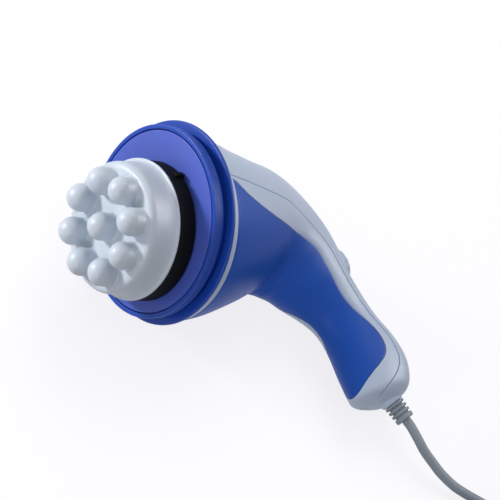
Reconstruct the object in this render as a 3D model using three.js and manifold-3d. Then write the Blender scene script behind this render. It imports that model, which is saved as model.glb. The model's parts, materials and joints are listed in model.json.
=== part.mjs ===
// Orbital body massager: a banana-shaped hand unit with a brush motor in its head.
// The motor turns an eccentric, and the studded applicator rides on it and orbits.
// Everything is built in the head's own frame and then laid on its side, as at rest.
// Head frame: x along the head axis towards the skin, y down the handle, z to the near side.
// Lengths are millimetres and angles are degrees.

import * as THREE from "three";
import { ConvexHull } from "three/addons/math/ConvexHull.js";
import { mergeVertices } from "three/addons/utils/BufferGeometryUtils.js";
import Module from "manifold-3d";

const wasm = await Module();
wasm.setup();

// Clearances and cutting allowances
const fitGap = 0.3;
const sweepGap = 0.7;
const overrun = 1;
const weldStep = 0.0002;

// Head ring: a rear flange and a front collar with a groove between them for a net cover
const flangeRadius = 55;
const flangeThickness = 3.4;
const lipRadius = 52.2;
const grooveWidth = 3;
const collarDepth = 6.9;
const collarTaper = 1.3;
const grooveRadius = 47.6;
const ringWall = 2.6;
const edgeRound = 1.1;
const spigotRadius = 49.5;
const spigotLength = 5;
const beadHeight = 0.7;
const beadWidth = 1.4;
const ringSides = 28;
const holeSides = 6;
const shankSides = 8;

// Front cover plate that closes the ring behind the applicator
const coverThickness = 2.4;
const coverRim = 2.7;
const coverHoleRadius = 21;
const coverSkirt = 4;
const coverSkirtWall = 1.6;

// Housing: a lofted banana in two shells, parted along its widest line
const housingRadius = 53;
const housingDepth = 127;
const handleDrop = 101;
const shellWall = 3.2;
const sectionSides = 26;
const cavitySides = 16;
const housingSteps = 23;
const cavitySteps = 11;
const cavityEndShare = 0.9;
const partingSteps = 24;

// Blue grip inlaid in the front shell
const gripThickness = 1.2;
const gripSteps = 22;

// Screws, and the posts that hold the shells together
const postRadius = 5;
const screwShank = 1.5;
const screwHead = 2.9;
const screwHeadHeight = 1.9;
const headPostSpread = 37.5;
const headScrewSeat = 8;
const handleScrewSeat = 4.5;
const screwGrip = 8;
const headPostShare = 0.075;
const handlePostShares = [0.6, 0.74];

// Air slots on the hidden crown of the back shell
const ventCount = 5;
const ventPitch = 4.6;
const ventWidth = 2;
const ventLength = 20;
const ventMiddleShare = 0.28;

// Applicator with its studs
const applicatorLip = 38.1;
const applicatorLipThickness = 1.2;
const applicatorNeck = 1.6;
const applicatorNeckRadius = 36;
const applicatorRadius = 35.3;
const applicatorDepth = 17.4;
const applicatorWall = 2.6;
const applicatorEdge = 4;
const socketWall = 2.6;
const studRadius = 7.65;
const studRise = 5.1;
const studCircle = 24.3;
const studCount = 8;
const studPhase = 153.8;

// Black carrier under the applicator
const drumRadius = 37.5;
const drumDepth = 10.5;
const drumWall = 2;
const carrierSpigot = 9.5;
const carrierSpigotLength = 9.5;
const carrierSpigotWall = 2.4;
const lugCount = 2;
const lugWidth = 3;
const lugHeight = 2;
const lugLength = 5.5;
const lugPhase = 108;

// Eccentric drive
const eccentricOffset = 5.2;
const eccentricPhase = -31.5;
const shaftRadius = 2.5;
const hubRadius = 14;
const hubLength = 12.2;
const hubPlateRadius = 33;
const hubPlateThickness = 1.6;
const shaftSeat = 4.6;
const pinRadius = 4;
const pinSeat = 5.4;
const pinShoulder = 5.6;
const weightThickness = 6.6;
const weightSweep = 150;
const rivetSpread = 45;
const rivetRadius = 2;
const bearingRadius = 11;
const bearingWidth = 7;
const raceWidth = 2;
const raceRecess = 0.5;
const clipThickness = 0.8;
const clipWidth = 2.4;
const clipSweep = 300;

// Motor bracket and the ledge in the shells that carries it
const bracketRadius = 43;
const bracketThickness = 1.8;
const bracketDepth = 12.4;
const bracketScrewCircle = 40;
const bracketScrewAngles = [20, 140, 260];
const bracketSlotInner = 22.5;
const bracketSlotOuter = 34;
const bracketSlotSweep = 84;
const ledgeThickness = 2.6;
const ledgeWidth = 6;

// Motor
const motorRadius = 20;
const motorLength = 42.2;
const canWall = 1.3;
const capThickness = 3;
const capScrewCircle = 14;
const motorBearingRadius = 8;
const motorBearingWidth = 5;
const bushRadius = 5;
const bushLength = 5;
const seatWall = 1.5;
const magnetThickness = 2.8;
const magnetSweep = 130;
const magnetOverhang = 0.5;
const armatureRadius = 14.9;
const armatureLength = 21;
const armatureSlots = 8;
const armatureSlotWidth = 3;
const armatureSlotDepth = 6;
const windingLength = 3.6;
const windingInner = 4.5;
const windingOuter = 13.4;
const commutatorRadius = 5.2;
const commutatorLength = 5.4;
const commutatorCut = 0.6;
const brushWidth = 5;
const brushDepth = 3.2;
const brushLength = 8;
const holderWall = 1.2;
const holderStart = 7.5;
const holderEnd = 14;
const terminalHeight = 4;
const terminalWidth = 4;
const leadRadius = 1.1;
const leadRoute = [
  [-18, 0, 22.2],
  [-30, 0, 22.2],
  [-45, 0.5, 22.2],
  [-58, 3, 21],
  [-70, 8, 16],
  [-80, 13.5, 11],
  [-86, 17, 9],
];

// Cooling fan
const fanRadius = 26;
const fanBlades = 9;
const fanDepth = 5;
const fanPlate = 1;
const fanHub = 6;
const bladeThickness = 1;
const bladeLean = 28;

// Speed dial on the back of the handle
const dialShare = 0.437;
const dialRadius = 11.5;
const dialProud = 4.2;
const dialSeat = 3.2;
const dialStem = 2.5;
const dialRibs = 18;
const dialRibDepth = 0.5;
const wellWall = 2;
const potRadius = 8;
const potDepth = 6.6;
const potBore = 4;

// Speed control board and what stands on it
const boardLength = 32;
const boardWidth = 27;
const boardThickness = 1.6;
const boardPostRadius = 2.8;
const boardScrewLength = 6;
const triacSize = [12, 4.5, 9];
const heatSinkThickness = 1.2;
const heatSinkHeight = 13;
const capacitorSize = [13, 8, 18];
const rectifierSize = [10, 3.6, 15];
const chokeRadius = 4.4;
const chokeCore = 2.3;

// Strain relief and the boss that holds it
const exitTurn = 116.7;
const bossBase = 8.3;
const bossTip = 6.2;
const bossLength = 7;
const bossRoot = 5;
const cordRadius = 2.65;
const reliefInside = 14;
const reliefOutside = 11;
const reliefStart = 5.9;
const reliefTip = 5.2;
const reliefCore = 4.1;
const reliefNotch = 1.2;
const reliefRibs = 4;

// Clamp that holds the cord inside the tail
const clampWidth = 5;
const clampLength = 21;
const clampThickness = 2.2;
const clampScrewSpread = 7.2;
const clampScrewLength = 7;
const clampPostRadius = 3;

// Cord inside the tail, from the strain relief past the posts to the board
const supplyRoute = [
  [-113.3, 92.7, 0],
  [-112.2, 90.55, 0],
  [-111.1, 88.35, 0],
  [-110.2, 84, 1.9],
  [-110.4, 79, 5.2],
  [-111.1, 74.5, 8.7],
  [-110.5, 68.5, 9.8],
  [-108, 60, 9.4],
  [-105, 53, 9],
  [-102.6, 47.3, 8],
];

// Cord in the group's frame, with the unit at rest: its free run, coil and run to the plug
const cordSides = 8;
const coilGap = 0.45;
const coilInner = 20.3;
const coilLayerTurns = 4;
const coilStepsPerTurn = 24;
const coilSides = 6;
const coilCentre = [-196, 64.8, 3.9];
const cordRoute = [
  [-109.4, 9.6, 16.5],
  [-113.4, 11.3, 16.1],
  [-120, 15, 14.9],
  [-126.2, 18.1, 12.9],
  [-133.4, 20.2, 10.5],
  [-140.9, 22, 8.1],
  [-149.7, 22.9, 5.9],
  [-156.2, 22.6, 4.8],
  [-165, 21.9, 4.05],
  [-175, 21.5, 3.85],
  [-183, 21.5, 3.85],
  [-190.4, 21.5, 3.85],
];
const plugRoute = [
  [-201.6, 21.5, 9.6],
  [-207, 21.7, 9.7],
  [-214.5, 24, 10.1],
  [-222, 28.5, 11],
  [-228.5, 35.5, 12.8],
  [-232.5, 44, 14.6],
  [-233.5, 53, 15.6],
  [-231.5, 62, 16],
  [-226.5, 70, 16.6],
  [-219, 76, 17.6],
  [-210, 79, 18.6],
  [-203, 79.8, 19],
];

// Tie round the coil
const tieWidth = 6;
const tieThickness = 0.7;
const tieGap = 0.5;

// Plug on the cord's far end, with two round pins
const plugRelief = 20;
const plugReliefTip = 3.8;
const plugReliefRoot = 5.6;
const plugBody = 34;
const plugHalfWidth = 12.6;
const plugNeckHalfWidth = 7.4;
const plugThickness = 12.6;
const plugBevel = 2;
const plugPinRadius = 2;
const plugPinLength = 19;
const plugPinSpread = 9.3;
const plugPinRoot = 4;

// Sections from the head to the tail. Each row holds the parting point as shares of the
// depth and the drop, the tilt of the section, and its back, front and half widths as
// shares of the housing radius.
const sectionShares = [
  [0.018, 0, 0, 1, 1, 1],
  [0.134, 0.003, 0, 0.9, 0.945, 0.955],
  [0.265, 0.015, 0, 0.71, 0.805, 0.83],
  [0.378, 0.024, 0, 0.705, 0.68, 0.735],
  [0.457, 0.034, 2.8, 0.72, 0.595, 0.679],
  [0.524, 0.072, 16, 0.69, 0.55, 0.604],
  [0.596, 0.109, 31.9, 0.56, 0.55, 0.538],
  [0.65, 0.176, 47.7, 0.475, 0.54, 0.5],
  [0.702, 0.247, 62.1, 0.352, 0.55, 0.453],
  [0.741, 0.35, 75.1, 0.272, 0.515, 0.409],
  [0.772, 0.411, 79.7, 0.258, 0.467, 0.37],
  [0.805, 0.473, 80.1, 0.243, 0.415, 0.336],
  [0.835, 0.538, 79.2, 0.23, 0.375, 0.317],
  [0.861, 0.611, 76.4, 0.217, 0.385, 0.321],
  [0.891, 0.684, 75.1, 0.194, 0.43, 0.338],
  [0.915, 0.763, 74.6, 0.2, 0.49, 0.347],
  [0.93, 0.86, 76, 0.215, 0.505, 0.34],
  [0.928, 0.95, 79, 0.2, 0.48, 0.305],
  [0.922, 1.01, 82, 0.15, 0.42, 0.235],
  [0.912, 1.035, 84, 0.05, 0.15, 0.09],
];
const exitShares = [0.943, 1.045];

// The parting line beyond the loft: ahead of the head, and round the cord boss
const partingLead = 20;
const partingTailShares = [
  [0.924, 0.85],
  [0.912, 0.905],
  [0.885, 0.955],
  [0.84, 1.01],
  [0.79, 1.08],
  [0.73, 1.18],
];
const partingTailFrom = 0.8;

// Edge of the blue grip on the near side, as shares of depth and drop
const gripNearShares = [
  [0.035, 0.045],
  [0.056, 0.056],
  [0.139, 0.127],
  [0.257, 0.158],
  [0.354, 0.169],
  [0.448, 0.189],
  [0.541, 0.206],
  [0.626, 0.267],
  [0.665, 0.334],
  [0.709, 0.424],
  [0.75, 0.509],
  [0.789, 0.565],
  [0.833, 0.644],
  [0.858, 0.724],
  [0.866, 0.79],
  [0.854, 0.84],
  [0.826, 0.876],
  [0.78, 0.919],
  [0.743, 0.958],
  [0.735, 1.01],
];

// The same edge on the far side, where it comes round to the front of the waist
const gripFarShares = [
  [0.035, 0.045],
  [0.056, 0.056],
  [0.139, 0.127],
  [0.257, 0.158],
  [0.354, 0.172],
  [0.44, 0.2],
  [0.52, 0.27],
  [0.565, 0.37],
  [0.6, 0.46],
  [0.646, 0.513],
  [0.687, 0.58],
  [0.712, 0.651],
  [0.735, 0.69],
  [0.79, 0.715],
  [0.845, 0.755],
  [0.862, 0.8],
  [0.854, 0.84],
  [0.826, 0.876],
  [0.78, 0.919],
  [0.743, 0.958],
  [0.735, 1.01],
];
const gripOutsideShares = [
  [0.5, 1.25],
  [0.035, 0.8],
];

// Materials, one per finish, with the density in grams per cubic centimetre
function finish(name, color, density, roughness, metalness = 0) {
  const material = new THREE.MeshStandardMaterial({ color, roughness, metalness });
  material.name = name;
  material.userData.density = density;
  return material;
}
const lightShell = finish("light_shell", "#b7c5da", 1.05, 0.35);
const blueGrip = finish("blue_grip", "#3a5aaa", 1.05, 0.4);
const blueRing = finish("blue_ring", "#2e4a9b", 1.05, 0.35);
const lilacCover = finish("lilac_cover", "#6979ca", 1.05, 0.35);
const whiteHead = finish("white_head", "#d9dfe6", 1.05, 0.25);
const blackPlastic = finish("black_plastic", "#0f1216", 1.2, 0.5);
const lightCord = finish("light_cord", "#aab6c8", 1.2, 0.55);
const steel = finish("steel", "#b9bcc0", 7.8, 0.35, 0.9);
const zinc = finish("zinc", "#9a9da1", 6.7, 0.5, 0.8);
const aluminium = finish("aluminium", "#c3c6ca", 2.7, 0.4, 0.9);
const brass = finish("brass", "#b08d4a", 8.5, 0.4, 0.9);
const copper = finish("copper", "#9a5a35", 6, 0.45, 0.8);
const ferrite = finish("ferrite", "#2c2d30", 4.8, 0.8);
const laminate = finish("laminate", "#2f6b3a", 1.8, 0.6);
const creamPlastic = finish("cream_plastic", "#d8cfb8", 1.3, 0.5);

// The unit lies in the group as it rests; its pieces are built in the head's frame
const massager = new THREE.Group();
const unit = new THREE.Group();
massager.add(unit);
const balance = { mass: 0, moment: new THREE.Vector3() };
const hullPoints = [];
const degrees = THREE.MathUtils.degToRad;
const sideFacing = 0.7;

// Merges shared corners, drops flat triangles and turns the faces outwards
function weld(geometry) {
  const bare = new THREE.BufferGeometry();
  bare.setAttribute("position", geometry.getAttribute("position").clone());
  if (geometry.index) bare.setIndex(geometry.index.clone());
  const merged = mergeVertices(bare, weldStep);
  const old = merged.index.array;
  const kept = [];
  for (let i = 0; i < old.length; i += 3) {
    const [a, b, c] = [old[i], old[i + 1], old[i + 2]];
    if (a !== b && b !== c && a !== c) kept.push(a, b, c);
  }
  if (volumeMoment(merged.getAttribute("position"), kept).volume < 0) kept.reverse();
  merged.setIndex(kept);
  return merged;
}

// Volume, and volume times centroid, of a closed mesh
function volumeMoment(position, index) {
  const corners = [new THREE.Vector3(), new THREE.Vector3(), new THREE.Vector3()];
  const cross = new THREE.Vector3();
  const moment = new THREE.Vector3();
  let volume = 0;
  for (let i = 0; i < index.length; i += 3) {
    corners.forEach((corner, k) => corner.fromBufferAttribute(position, index[i + k]));
    const part = corners[0].dot(cross.crossVectors(corners[1], corners[2])) / 6;
    volume += part;
    for (const corner of corners) moment.addScaledVector(corner, part / 4);
  }
  return { volume, moment };
}

// A solid for cutting and joining
function solid(geometry) {
  const welded = weld(geometry);
  return new wasm.Manifold(new wasm.Mesh({
    numProp: 3,
    vertProperties: new Float32Array(welded.getAttribute("position").array),
    triVerts: new Uint32Array(welded.index.array),
  }));
}

function surface(manifold) {
  const mesh = manifold.getMesh();
  const geometry = new THREE.BufferGeometry();
  geometry.setAttribute("position", new THREE.BufferAttribute(new Float32Array(mesh.vertProperties), 3));
  geometry.setIndex(Array.from(mesh.triVerts));
  return geometry;
}

// Adds a piece to the unit, and counts it in the unit's balance and hull
function piece(name, shape, material) {
  const geometry = shape.isBufferGeometry ? weld(shape) : surface(shape);
  geometry.computeVertexNormals();
  const mesh = new THREE.Mesh(geometry, material);
  mesh.name = name;
  unit.add(mesh);
  const position = geometry.getAttribute("position");
  const { volume, moment } = volumeMoment(position, geometry.index.array);
  balance.mass += volume * material.userData.density;
  balance.moment.addScaledVector(moment, material.userData.density);
  for (let i = 0; i < position.count; i += 1) {
    hullPoints.push(new THREE.Vector3().fromBufferAttribute(position, i));
  }
}

// Several shapes as one body
function joined(...shapes) {
  return shapes.map((shape) => (shape.isBufferGeometry ? solid(shape) : shape)).reduce((a, b) => a.add(b));
}

// A shape with others cut out of it
function cut(shape, ...cutters) {
  const start = shape.isBufferGeometry ? solid(shape) : shape;
  return cutters.map((c) => (c.isBufferGeometry ? solid(c) : c)).reduce((a, b) => a.subtract(b), start);
}

// A turned solid about the x axis, from [x, radius] points
function turned(profile, sides) {
  const points = profile.map(([x, radius]) => new THREE.Vector2(radius, x));
  const last = points[points.length - 1];
  if (points[0].x !== 0 || last.x !== 0) points.push(points[0].clone());
  return new THREE.LatheGeometry(points, sides).rotateZ(-Math.PI / 2);
}

// A plain ring or disc about the x axis
function ring(back, front, inner, outer, sides) {
  return turned([[back, inner], [back, outer], [front, outer], [front, inner]], sides);
}

// Points of a round edge about a centre in the [x, radius] plane
function bend(x, radius, size, from, to, steps = 3) {
  const points = [];
  for (let i = 0; i <= steps; i += 1) {
    const angle = degrees(from + ((to - from) * i) / steps);
    points.push([x + size * Math.cos(angle), radius + size * Math.sin(angle)]);
  }
  return points;
}

// A flat outline of [y, z] points raised along x from back to front
function slab(outline, back, front, holes = []) {
  const shape = new THREE.Shape(outline.map(([y, z]) => new THREE.Vector2(y, z)));
  for (const hole of holes) shape.holes.push(new THREE.Path(hole.map(([y, z]) => new THREE.Vector2(y, z))));
  const geometry = new THREE.ExtrudeGeometry(shape, { depth: front - back, bevelEnabled: false });
  const axes = new THREE.Matrix4().makeBasis(
    new THREE.Vector3(0, 1, 0),
    new THREE.Vector3(0, 0, 1),
    new THREE.Vector3(1, 0, 0),
  );
  return geometry.applyMatrix4(axes).translate(back, 0, 0);
}

function circle(radius, sides, y = 0, z = 0) {
  const points = [];
  for (let i = 0; i < sides; i += 1) {
    const angle = (i / sides) * Math.PI * 2;
    points.push([y + radius * Math.cos(angle), z + radius * Math.sin(angle)]);
  }
  return points;
}

// Outline of a ring sector between two angles
function sector(inner, outer, middle, sweep, steps) {
  const points = [];
  for (let i = 0; i <= steps; i += 1) points.push([outer, middle - sweep / 2 + (sweep * i) / steps]);
  for (let i = steps; i >= 0; i -= 1) points.push([inner, middle - sweep / 2 + (sweep * i) / steps]);
  return points.map(([radius, angle]) => [radius * Math.cos(degrees(angle)), radius * Math.sin(degrees(angle))]);
}

// A box from its lowest and highest corners
function block(low, high) {
  const size = high.map((value, i) => value - low[i]);
  const middle = high.map((value, i) => (value + low[i]) / 2);
  return new THREE.BoxGeometry(...size).translate(...middle);
}

// Moves a shape drawn about the x axis to stand at a point, along a direction
function placed(geometry, origin, along, side = new THREE.Vector3(0, 0, 1)) {
  const third = new THREE.Vector3().crossVectors(side, along).normalize();
  const axes = new THREE.Matrix4().makeBasis(along, third, side).setPosition(origin);
  return geometry.applyMatrix4(axes);
}

function screw(length, sides = holeSides) {
  return turned([
    [0, 0],
    [0, screwHead],
    [screwHeadHeight, screwHead],
    [screwHeadHeight, screwShank],
    [screwHeadHeight + length, screwShank],
    [screwHeadHeight + length, 0],
  ], sides);
}

// Housing sections, smoothed between the rows of the table
function smooth(points) {
  return new THREE.CatmullRomCurve3(points, false, "catmullrom", 0.5);
}
const sectionPlaces = smooth(sectionShares.map(([depth, drop, , , , half]) =>
  new THREE.Vector3(-depth * housingDepth, drop * handleDrop, half * housingRadius)));
const sectionForms = smooth(sectionShares.map(([, , tilt, back, front]) =>
  new THREE.Vector3(back * housingRadius, front * housingRadius, tilt)));

function sectionAt(share) {
  const place = sectionPlaces.getPoint(share);
  const form = sectionForms.getPoint(share);
  const tilt = degrees(form.z);
  return {
    middle: new THREE.Vector3(place.x, place.y, 0),
    half: place.z,
    back: form.x,
    front: form.y,
    toBack: new THREE.Vector3(-Math.sin(tilt), -Math.cos(tilt), 0),
  };
}

function sectionRing(section, inset, sides) {
  const points = [];
  for (let i = 0; i < sides; i += 1) {
    const angle = (i / sides) * Math.PI * 2;
    const depth = (Math.cos(angle) > 0 ? section.back : section.front) - inset;
    const point = section.middle.clone().addScaledVector(section.toBack, Math.cos(angle) * depth);
    point.z = (section.half - inset) * Math.sin(angle);
    points.push(point);
  }
  return points;
}

// A closed skin over rings of equal length
function loft(rings) {
  const sides = rings[0].length;
  const middle = (points) => points.reduce((sum, p) => sum.add(p), new THREE.Vector3()).divideScalar(sides);
  const points = [...rings.flat(), middle(rings[0]), middle(rings[rings.length - 1])];
  const index = [];
  const at = (row, side) => row * sides + (side % sides);
  for (let row = 0; row + 1 < rings.length; row += 1) {
    for (let side = 0; side < sides; side += 1) {
      index.push(at(row, side), at(row + 1, side), at(row + 1, side + 1));
      index.push(at(row, side), at(row + 1, side + 1), at(row, side + 1));
    }
  }
  for (let side = 0; side < sides; side += 1) {
    index.push(points.length - 2, at(0, side), at(0, side + 1));
    index.push(points.length - 1, at(rings.length - 1, side + 1), at(rings.length - 1, side));
  }
  const geometry = new THREE.BufferGeometry().setFromPoints(points);
  return geometry.setIndex(index);
}

function housingForm(inset, endShare = 1, steps = housingSteps, sides = sectionSides) {
  const rings = [];
  for (let i = 0; i <= steps; i += 1) {
    rings.push(sectionRing(sectionAt((i / steps) * endShare), inset, sides));
  }
  return solid(loft(rings));
}

// A slab that follows an outline in the plane of symmetry, between two z heights
function sideCut(outline, low, high) {
  const shape = new THREE.Shape(outline.map((p) => new THREE.Vector2(p.x, p.y)));
  const geometry = new THREE.ExtrudeGeometry(shape, { depth: high - low, bevelEnabled: false });
  return solid(geometry.translate(0, 0, low));
}

const fromShares = (rows) => rows.map(([depth, drop]) =>
  new THREE.Vector3(-depth * housingDepth, drop * handleDrop, 0));
const reach = 2 * flangeRadius;

// Parting line in the plane of symmetry, from ahead of the head to beyond the tail
function partingLine() {
  const points = [new THREE.Vector3(partingLead, 0, 0)];
  for (let i = 0; i <= partingSteps; i += 1) {
    points.push(sectionAt((i / partingSteps) * partingTailFrom).middle);
  }
  return [...points, ...fromShares(partingTailShares)];
}

// Shifts a line sideways in the plane of symmetry; more is towards the front of the handle
function shifted(line, more) {
  return line.map((point, i) => {
    const before = line[Math.max(i - 1, 0)];
    const after = line[Math.min(i + 1, line.length - 1)];
    const run = after.clone().sub(before).normalize();
    return new THREE.Vector3(point.x + run.y * more, point.y - run.x * more, 0);
  });
}

// The regions behind and in front of the parting line
function backRegion() {
  const far = [[-2 * reach, 2 * reach], [-2 * reach, -reach], [partingLead, -reach]];
  const edge = shifted(partingLine(), -fitGap / 2);
  return sideCut([...edge, ...far.map(([x, y]) => new THREE.Vector3(x, y, 0))], -reach, reach);
}

function frontRegion() {
  const edge = shifted(partingLine(), fitGap / 2);
  return sideCut([...edge, new THREE.Vector3(partingLead, 2 * reach, 0)], -reach, reach);
}

// What lies inside the grip's edge, which differs between the near and the far side
function gripRegion(grow) {
  const side = (shares, low, high) => {
    const edge = smooth(fromShares(shares)).getPoints(gripSteps);
    const [beyond, ahead] = fromShares(gripOutsideShares);
    const corner = edge[0].clone();
    for (const point of [ahead, corner]) point.x += grow;
    corner.y -= grow;
    return sideCut([...shifted(edge, -grow), beyond, ahead, corner], low, high);
  };
  return joined(side(gripNearShares, 0, reach), side(gripFarShares, -reach, 0));
}

// Places along the head axis, from the housing forward
const headFront = -sectionShares[0][0] * housingDepth;
const flangeBack = headFront + fitGap;
const flangeFront = flangeBack + flangeThickness;
const collarBack = flangeFront + grooveWidth;
const lipFront = collarBack + collarDepth;
const ringInner = grooveRadius - ringWall;
const spigotBack = flangeBack - spigotLength;
const beadBack = spigotBack + edgeRound;
const coverRadius = lipRadius - coverRim - fitGap;
const coverBack = lipFront - coverThickness;
const drumBack = lipFront + sweepGap;
const drumFront = drumBack + drumDepth;
const plateBack = drumFront - drumWall;
const applicatorBack = drumFront + fitGap;
const applicatorFace = applicatorBack + applicatorDepth;
const bearingFront = plateBack - fitGap;
const bearingBack = bearingFront - bearingWidth;

// Places along the head axis, from the bracket back
const bracketFront = -bracketDepth;
const bracketBack = bracketFront - bracketThickness;
const ledgeFront = bracketBack - fitGap;
const capFront = bracketBack - fitGap;
const capBack = capFront - capThickness;
const motorBearingBack = capFront - motorBearingWidth;
const seatBack = motorBearingBack - fitGap - seatWall;
const commutatorFront = seatBack - sweepGap;
const commutatorBack = commutatorFront - commutatorLength;
const windingFront = commutatorBack - fitGap;
const armatureFront = windingFront - windingLength - fitGap;
const armatureBack = armatureFront - armatureLength;
const windingRear = armatureBack - fitGap;
const canFront = capBack - fitGap;
const canBack = canFront - motorLength;
const bushFront = canBack + canWall;
const bushBack = bushFront - bushLength;

// Places along the head axis between the bracket and the applicator
const fanBack = bracketFront + fitGap + screwHeadHeight + sweepGap;
const fanFront = fanBack + fanDepth;
const hubBack = fanFront + fitGap;
const hubFront = hubBack + hubLength;
const weightBack = hubBack + hubPlateThickness + fitGap;
const weightFront = weightBack + weightThickness;
const eccentricY = eccentricOffset * Math.cos(degrees(eccentricPhase));
const eccentricZ = eccentricOffset * Math.sin(degrees(eccentricPhase));
const onEccentric = (geometry) => geometry.translate(0, eccentricY, eccentricZ);
const aroundHead = (radius, angle) => [radius * Math.cos(degrees(angle)), radius * Math.sin(degrees(angle))];

// The joint point and the direction of a shell screw. The screws in the head come from the
// front, under the grip, and those in the handle come from the back.
function postAt(share, z, fromFront, seat) {
  const section = sectionAt(share);
  const along = section.toBack.clone().multiplyScalar(fromFront ? 1 : -1);
  return { at: section.middle.clone().setZ(z), along, fromFront, seat };
}
const shellPosts = [
  postAt(headPostShare, headPostSpread, true, headScrewSeat),
  postAt(headPostShare, -headPostSpread, true, headScrewSeat),
  ...handlePostShares.map((share) => postAt(share, 0, false, handleScrewSeat)),
];

// The cuts for a shell screw: a sunk hole where its head is, and a hole that its thread grips
function screwCuts({ at, along, fromFront, seat }, inFront) {
  if (fromFront !== inFront) {
    return [placed(ring(-overrun, screwGrip + overrun, 0, screwShank + fitGap, holeSides), at, along)];
  }
  return [
    placed(ring(-reach, -seat, 0, screwHead + fitGap, shankSides), at, along),
    placed(ring(-seat - overrun, overrun, 0, screwShank + fitGap, holeSides), at, along),
  ];
}

// The dial's frame: its centre on the skin, and the way out
const dialSection = sectionAt(dialShare);
const dialCentre = dialSection.middle.clone().addScaledVector(dialSection.toBack, dialSection.back);
const atDial = (geometry) => placed(geometry, dialCentre, dialSection.toBack);
const wellBack = -dialSeat - wellWall;
const potTop = wellBack - fitGap;
const boardTop = potTop - potDepth - fitGap;
const boardBottom = boardTop - boardThickness;
const boardPosts = [
  [boardLength / 2 - boardPostRadius - overrun, boardWidth / 2 - boardPostRadius - overrun],
  [-boardLength / 2 + boardPostRadius + overrun, -boardWidth / 2 + boardPostRadius + overrun],
];

// The cord's way out of the tail, and the clamp just inside it
const [exitPoint] = fromShares([exitShares]);
const exitWay = new THREE.Vector3(Math.cos(degrees(exitTurn)), Math.sin(degrees(exitTurn)), 0);
const atExit = (geometry) => placed(geometry, exitPoint, exitWay);
const clampMiddle = -reliefInside - fitGap - clampWidth / 2;
const clampLift = cordRadius + fitGap;

// Both shells in one piece, with the posts, ledge and well that they carry
function housingBody() {
  const socket = ring(spigotBack - fitGap, partingLead, 0, spigotRadius + fitGap, ringSides);
  const bead = ring(beadBack - fitGap, beadBack + beadWidth + fitGap, 0, spigotRadius + beadHeight + fitGap, ringSides);
  const cavity = housingForm(shellWall, cavityEndShare, cavitySteps, cavitySides);
  const walls = cut(housingForm(0), cavity, socket, bead);
  const bracketSeat = bracketRadius - ledgeWidth;
  const inner = [ring(ledgeFront - ledgeThickness, ledgeFront, bracketSeat, flangeRadius, 24)];
  for (const { at, along } of shellPosts) {
    inner.push(placed(ring(-reach, reach, 0, postRadius, shankSides), at, along));
  }
  const holes = [];
  for (const angle of bracketScrewAngles) {
    const hole = ring(ledgeFront - ledgeThickness - overrun, ledgeFront + overrun, 0, screwShank + fitGap, holeSides);
    holes.push(hole.translate(0, ...aroundHead(bracketScrewCircle, angle)));
  }
  return joined(walls, cut(joined(...inner).intersect(middleOfWall()), ...holes));
}

// The middle surface of the wall, where what stands inside the shells is rooted
function middleOfWall() {
  return housingForm(shellWall / 2, 1, cavitySteps, cavitySides);
}

function backShell(body) {
  const wellRadius = dialRadius + fitGap + wellWall;
  const inner = [atDial(ring(wellBack, 0, 0, wellRadius, 20))];
  for (const [y, z] of boardPosts) {
    inner.push(atDial(ring(boardTop + fitGap, 0, 0, boardPostRadius, holeSides).translate(0, y, z)));
  }
  for (const z of [-clampScrewSpread, clampScrewSpread]) {
    const post = block([clampMiddle - clampPostRadius, -clampLift + fitGap, z - clampPostRadius],
      [clampMiddle + clampPostRadius, reach / 2, z + clampPostRadius]);
    inner.push(atExit(post));
  }
  const boss = atExit(turned([
    [-bossLength - bossRoot, 0],
    [-bossLength - bossRoot, bossBase],
    [-bossLength, bossBase],
    [-edgeRound, bossTip],
    [0, bossTip - edgeRound / 2],
    [0, 0],
  ], 18));
  const shape = joined(body, joined(...inner).intersect(middleOfWall()), boss).intersect(backRegion());
  const cutters = [
    atDial(ring(-dialSeat, reach, 0, dialRadius + fitGap, 24)),
    atDial(ring(wellBack - overrun, 0, 0, dialStem + fitGap, 10)),
    atExit(ring(-reliefInside - overrun, overrun, 0, reliefCore + fitGap, 12)),
  ];
  for (const post of shellPosts) cutters.push(...screwCuts(post, false));
  for (const [y, z] of boardPosts) {
    const hole = ring(boardTop, boardTop + boardScrewLength, 0, screwShank + fitGap, holeSides);
    cutters.push(atDial(hole.translate(0, y, z)));
  }
  for (const z of [-clampScrewSpread, clampScrewSpread]) cutters.push(clampHole(z));
  const ventSection = sectionAt(ventMiddleShare);
  for (let i = 0; i < ventCount; i += 1) {
    const x = ventSection.middle.x + (i - (ventCount - 1) / 2) * ventPitch;
    cutters.push(block([x - ventWidth / 2, -reach, -ventLength / 2], [x + ventWidth / 2, -motorRadius - overrun, ventLength / 2]));
  }
  piece("back_shell", cut(shape, ...cutters), lightShell);
}

// The hole for a clamp screw, in the frame of the exit
function clampHole(z) {
  const start = clampLift + clampThickness;
  const hole = ring(-start, clampScrewLength, 0, screwShank + fitGap, holeSides);
  return atExit(placed(hole, new THREE.Vector3(clampMiddle, 0, z), new THREE.Vector3(0, 1, 0)));
}

function frontShell(body) {
  const holes = shellPosts.flatMap((post) => screwCuts(post, true));
  const recess = housingForm(-overrun).subtract(housingForm(gripThickness + fitGap));
  const relief = atExit(ring(-reliefInside - overrun, overrun, 0, reliefCore + fitGap, 12));
  const shape = cut(body.intersect(frontRegion()), ...holes, relief, recess.intersect(gripRegion(fitGap)));
  piece("front_shell", shape, lightShell);
  const skin = housingForm(0).subtract(housingForm(gripThickness));
  piece("grip_panel", skin.intersect(gripRegion(0)), blueGrip);
}

function shellScrews() {
  shellPosts.forEach(({ at, along, seat }, i) => {
    const shape = screw(seat + screwGrip).translate(-seat - screwHeadHeight - fitGap / 2, 0, 0);
    piece(`shell_screw_${i + 1}`, placed(shape, at, along), steel);
  });
}

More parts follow.
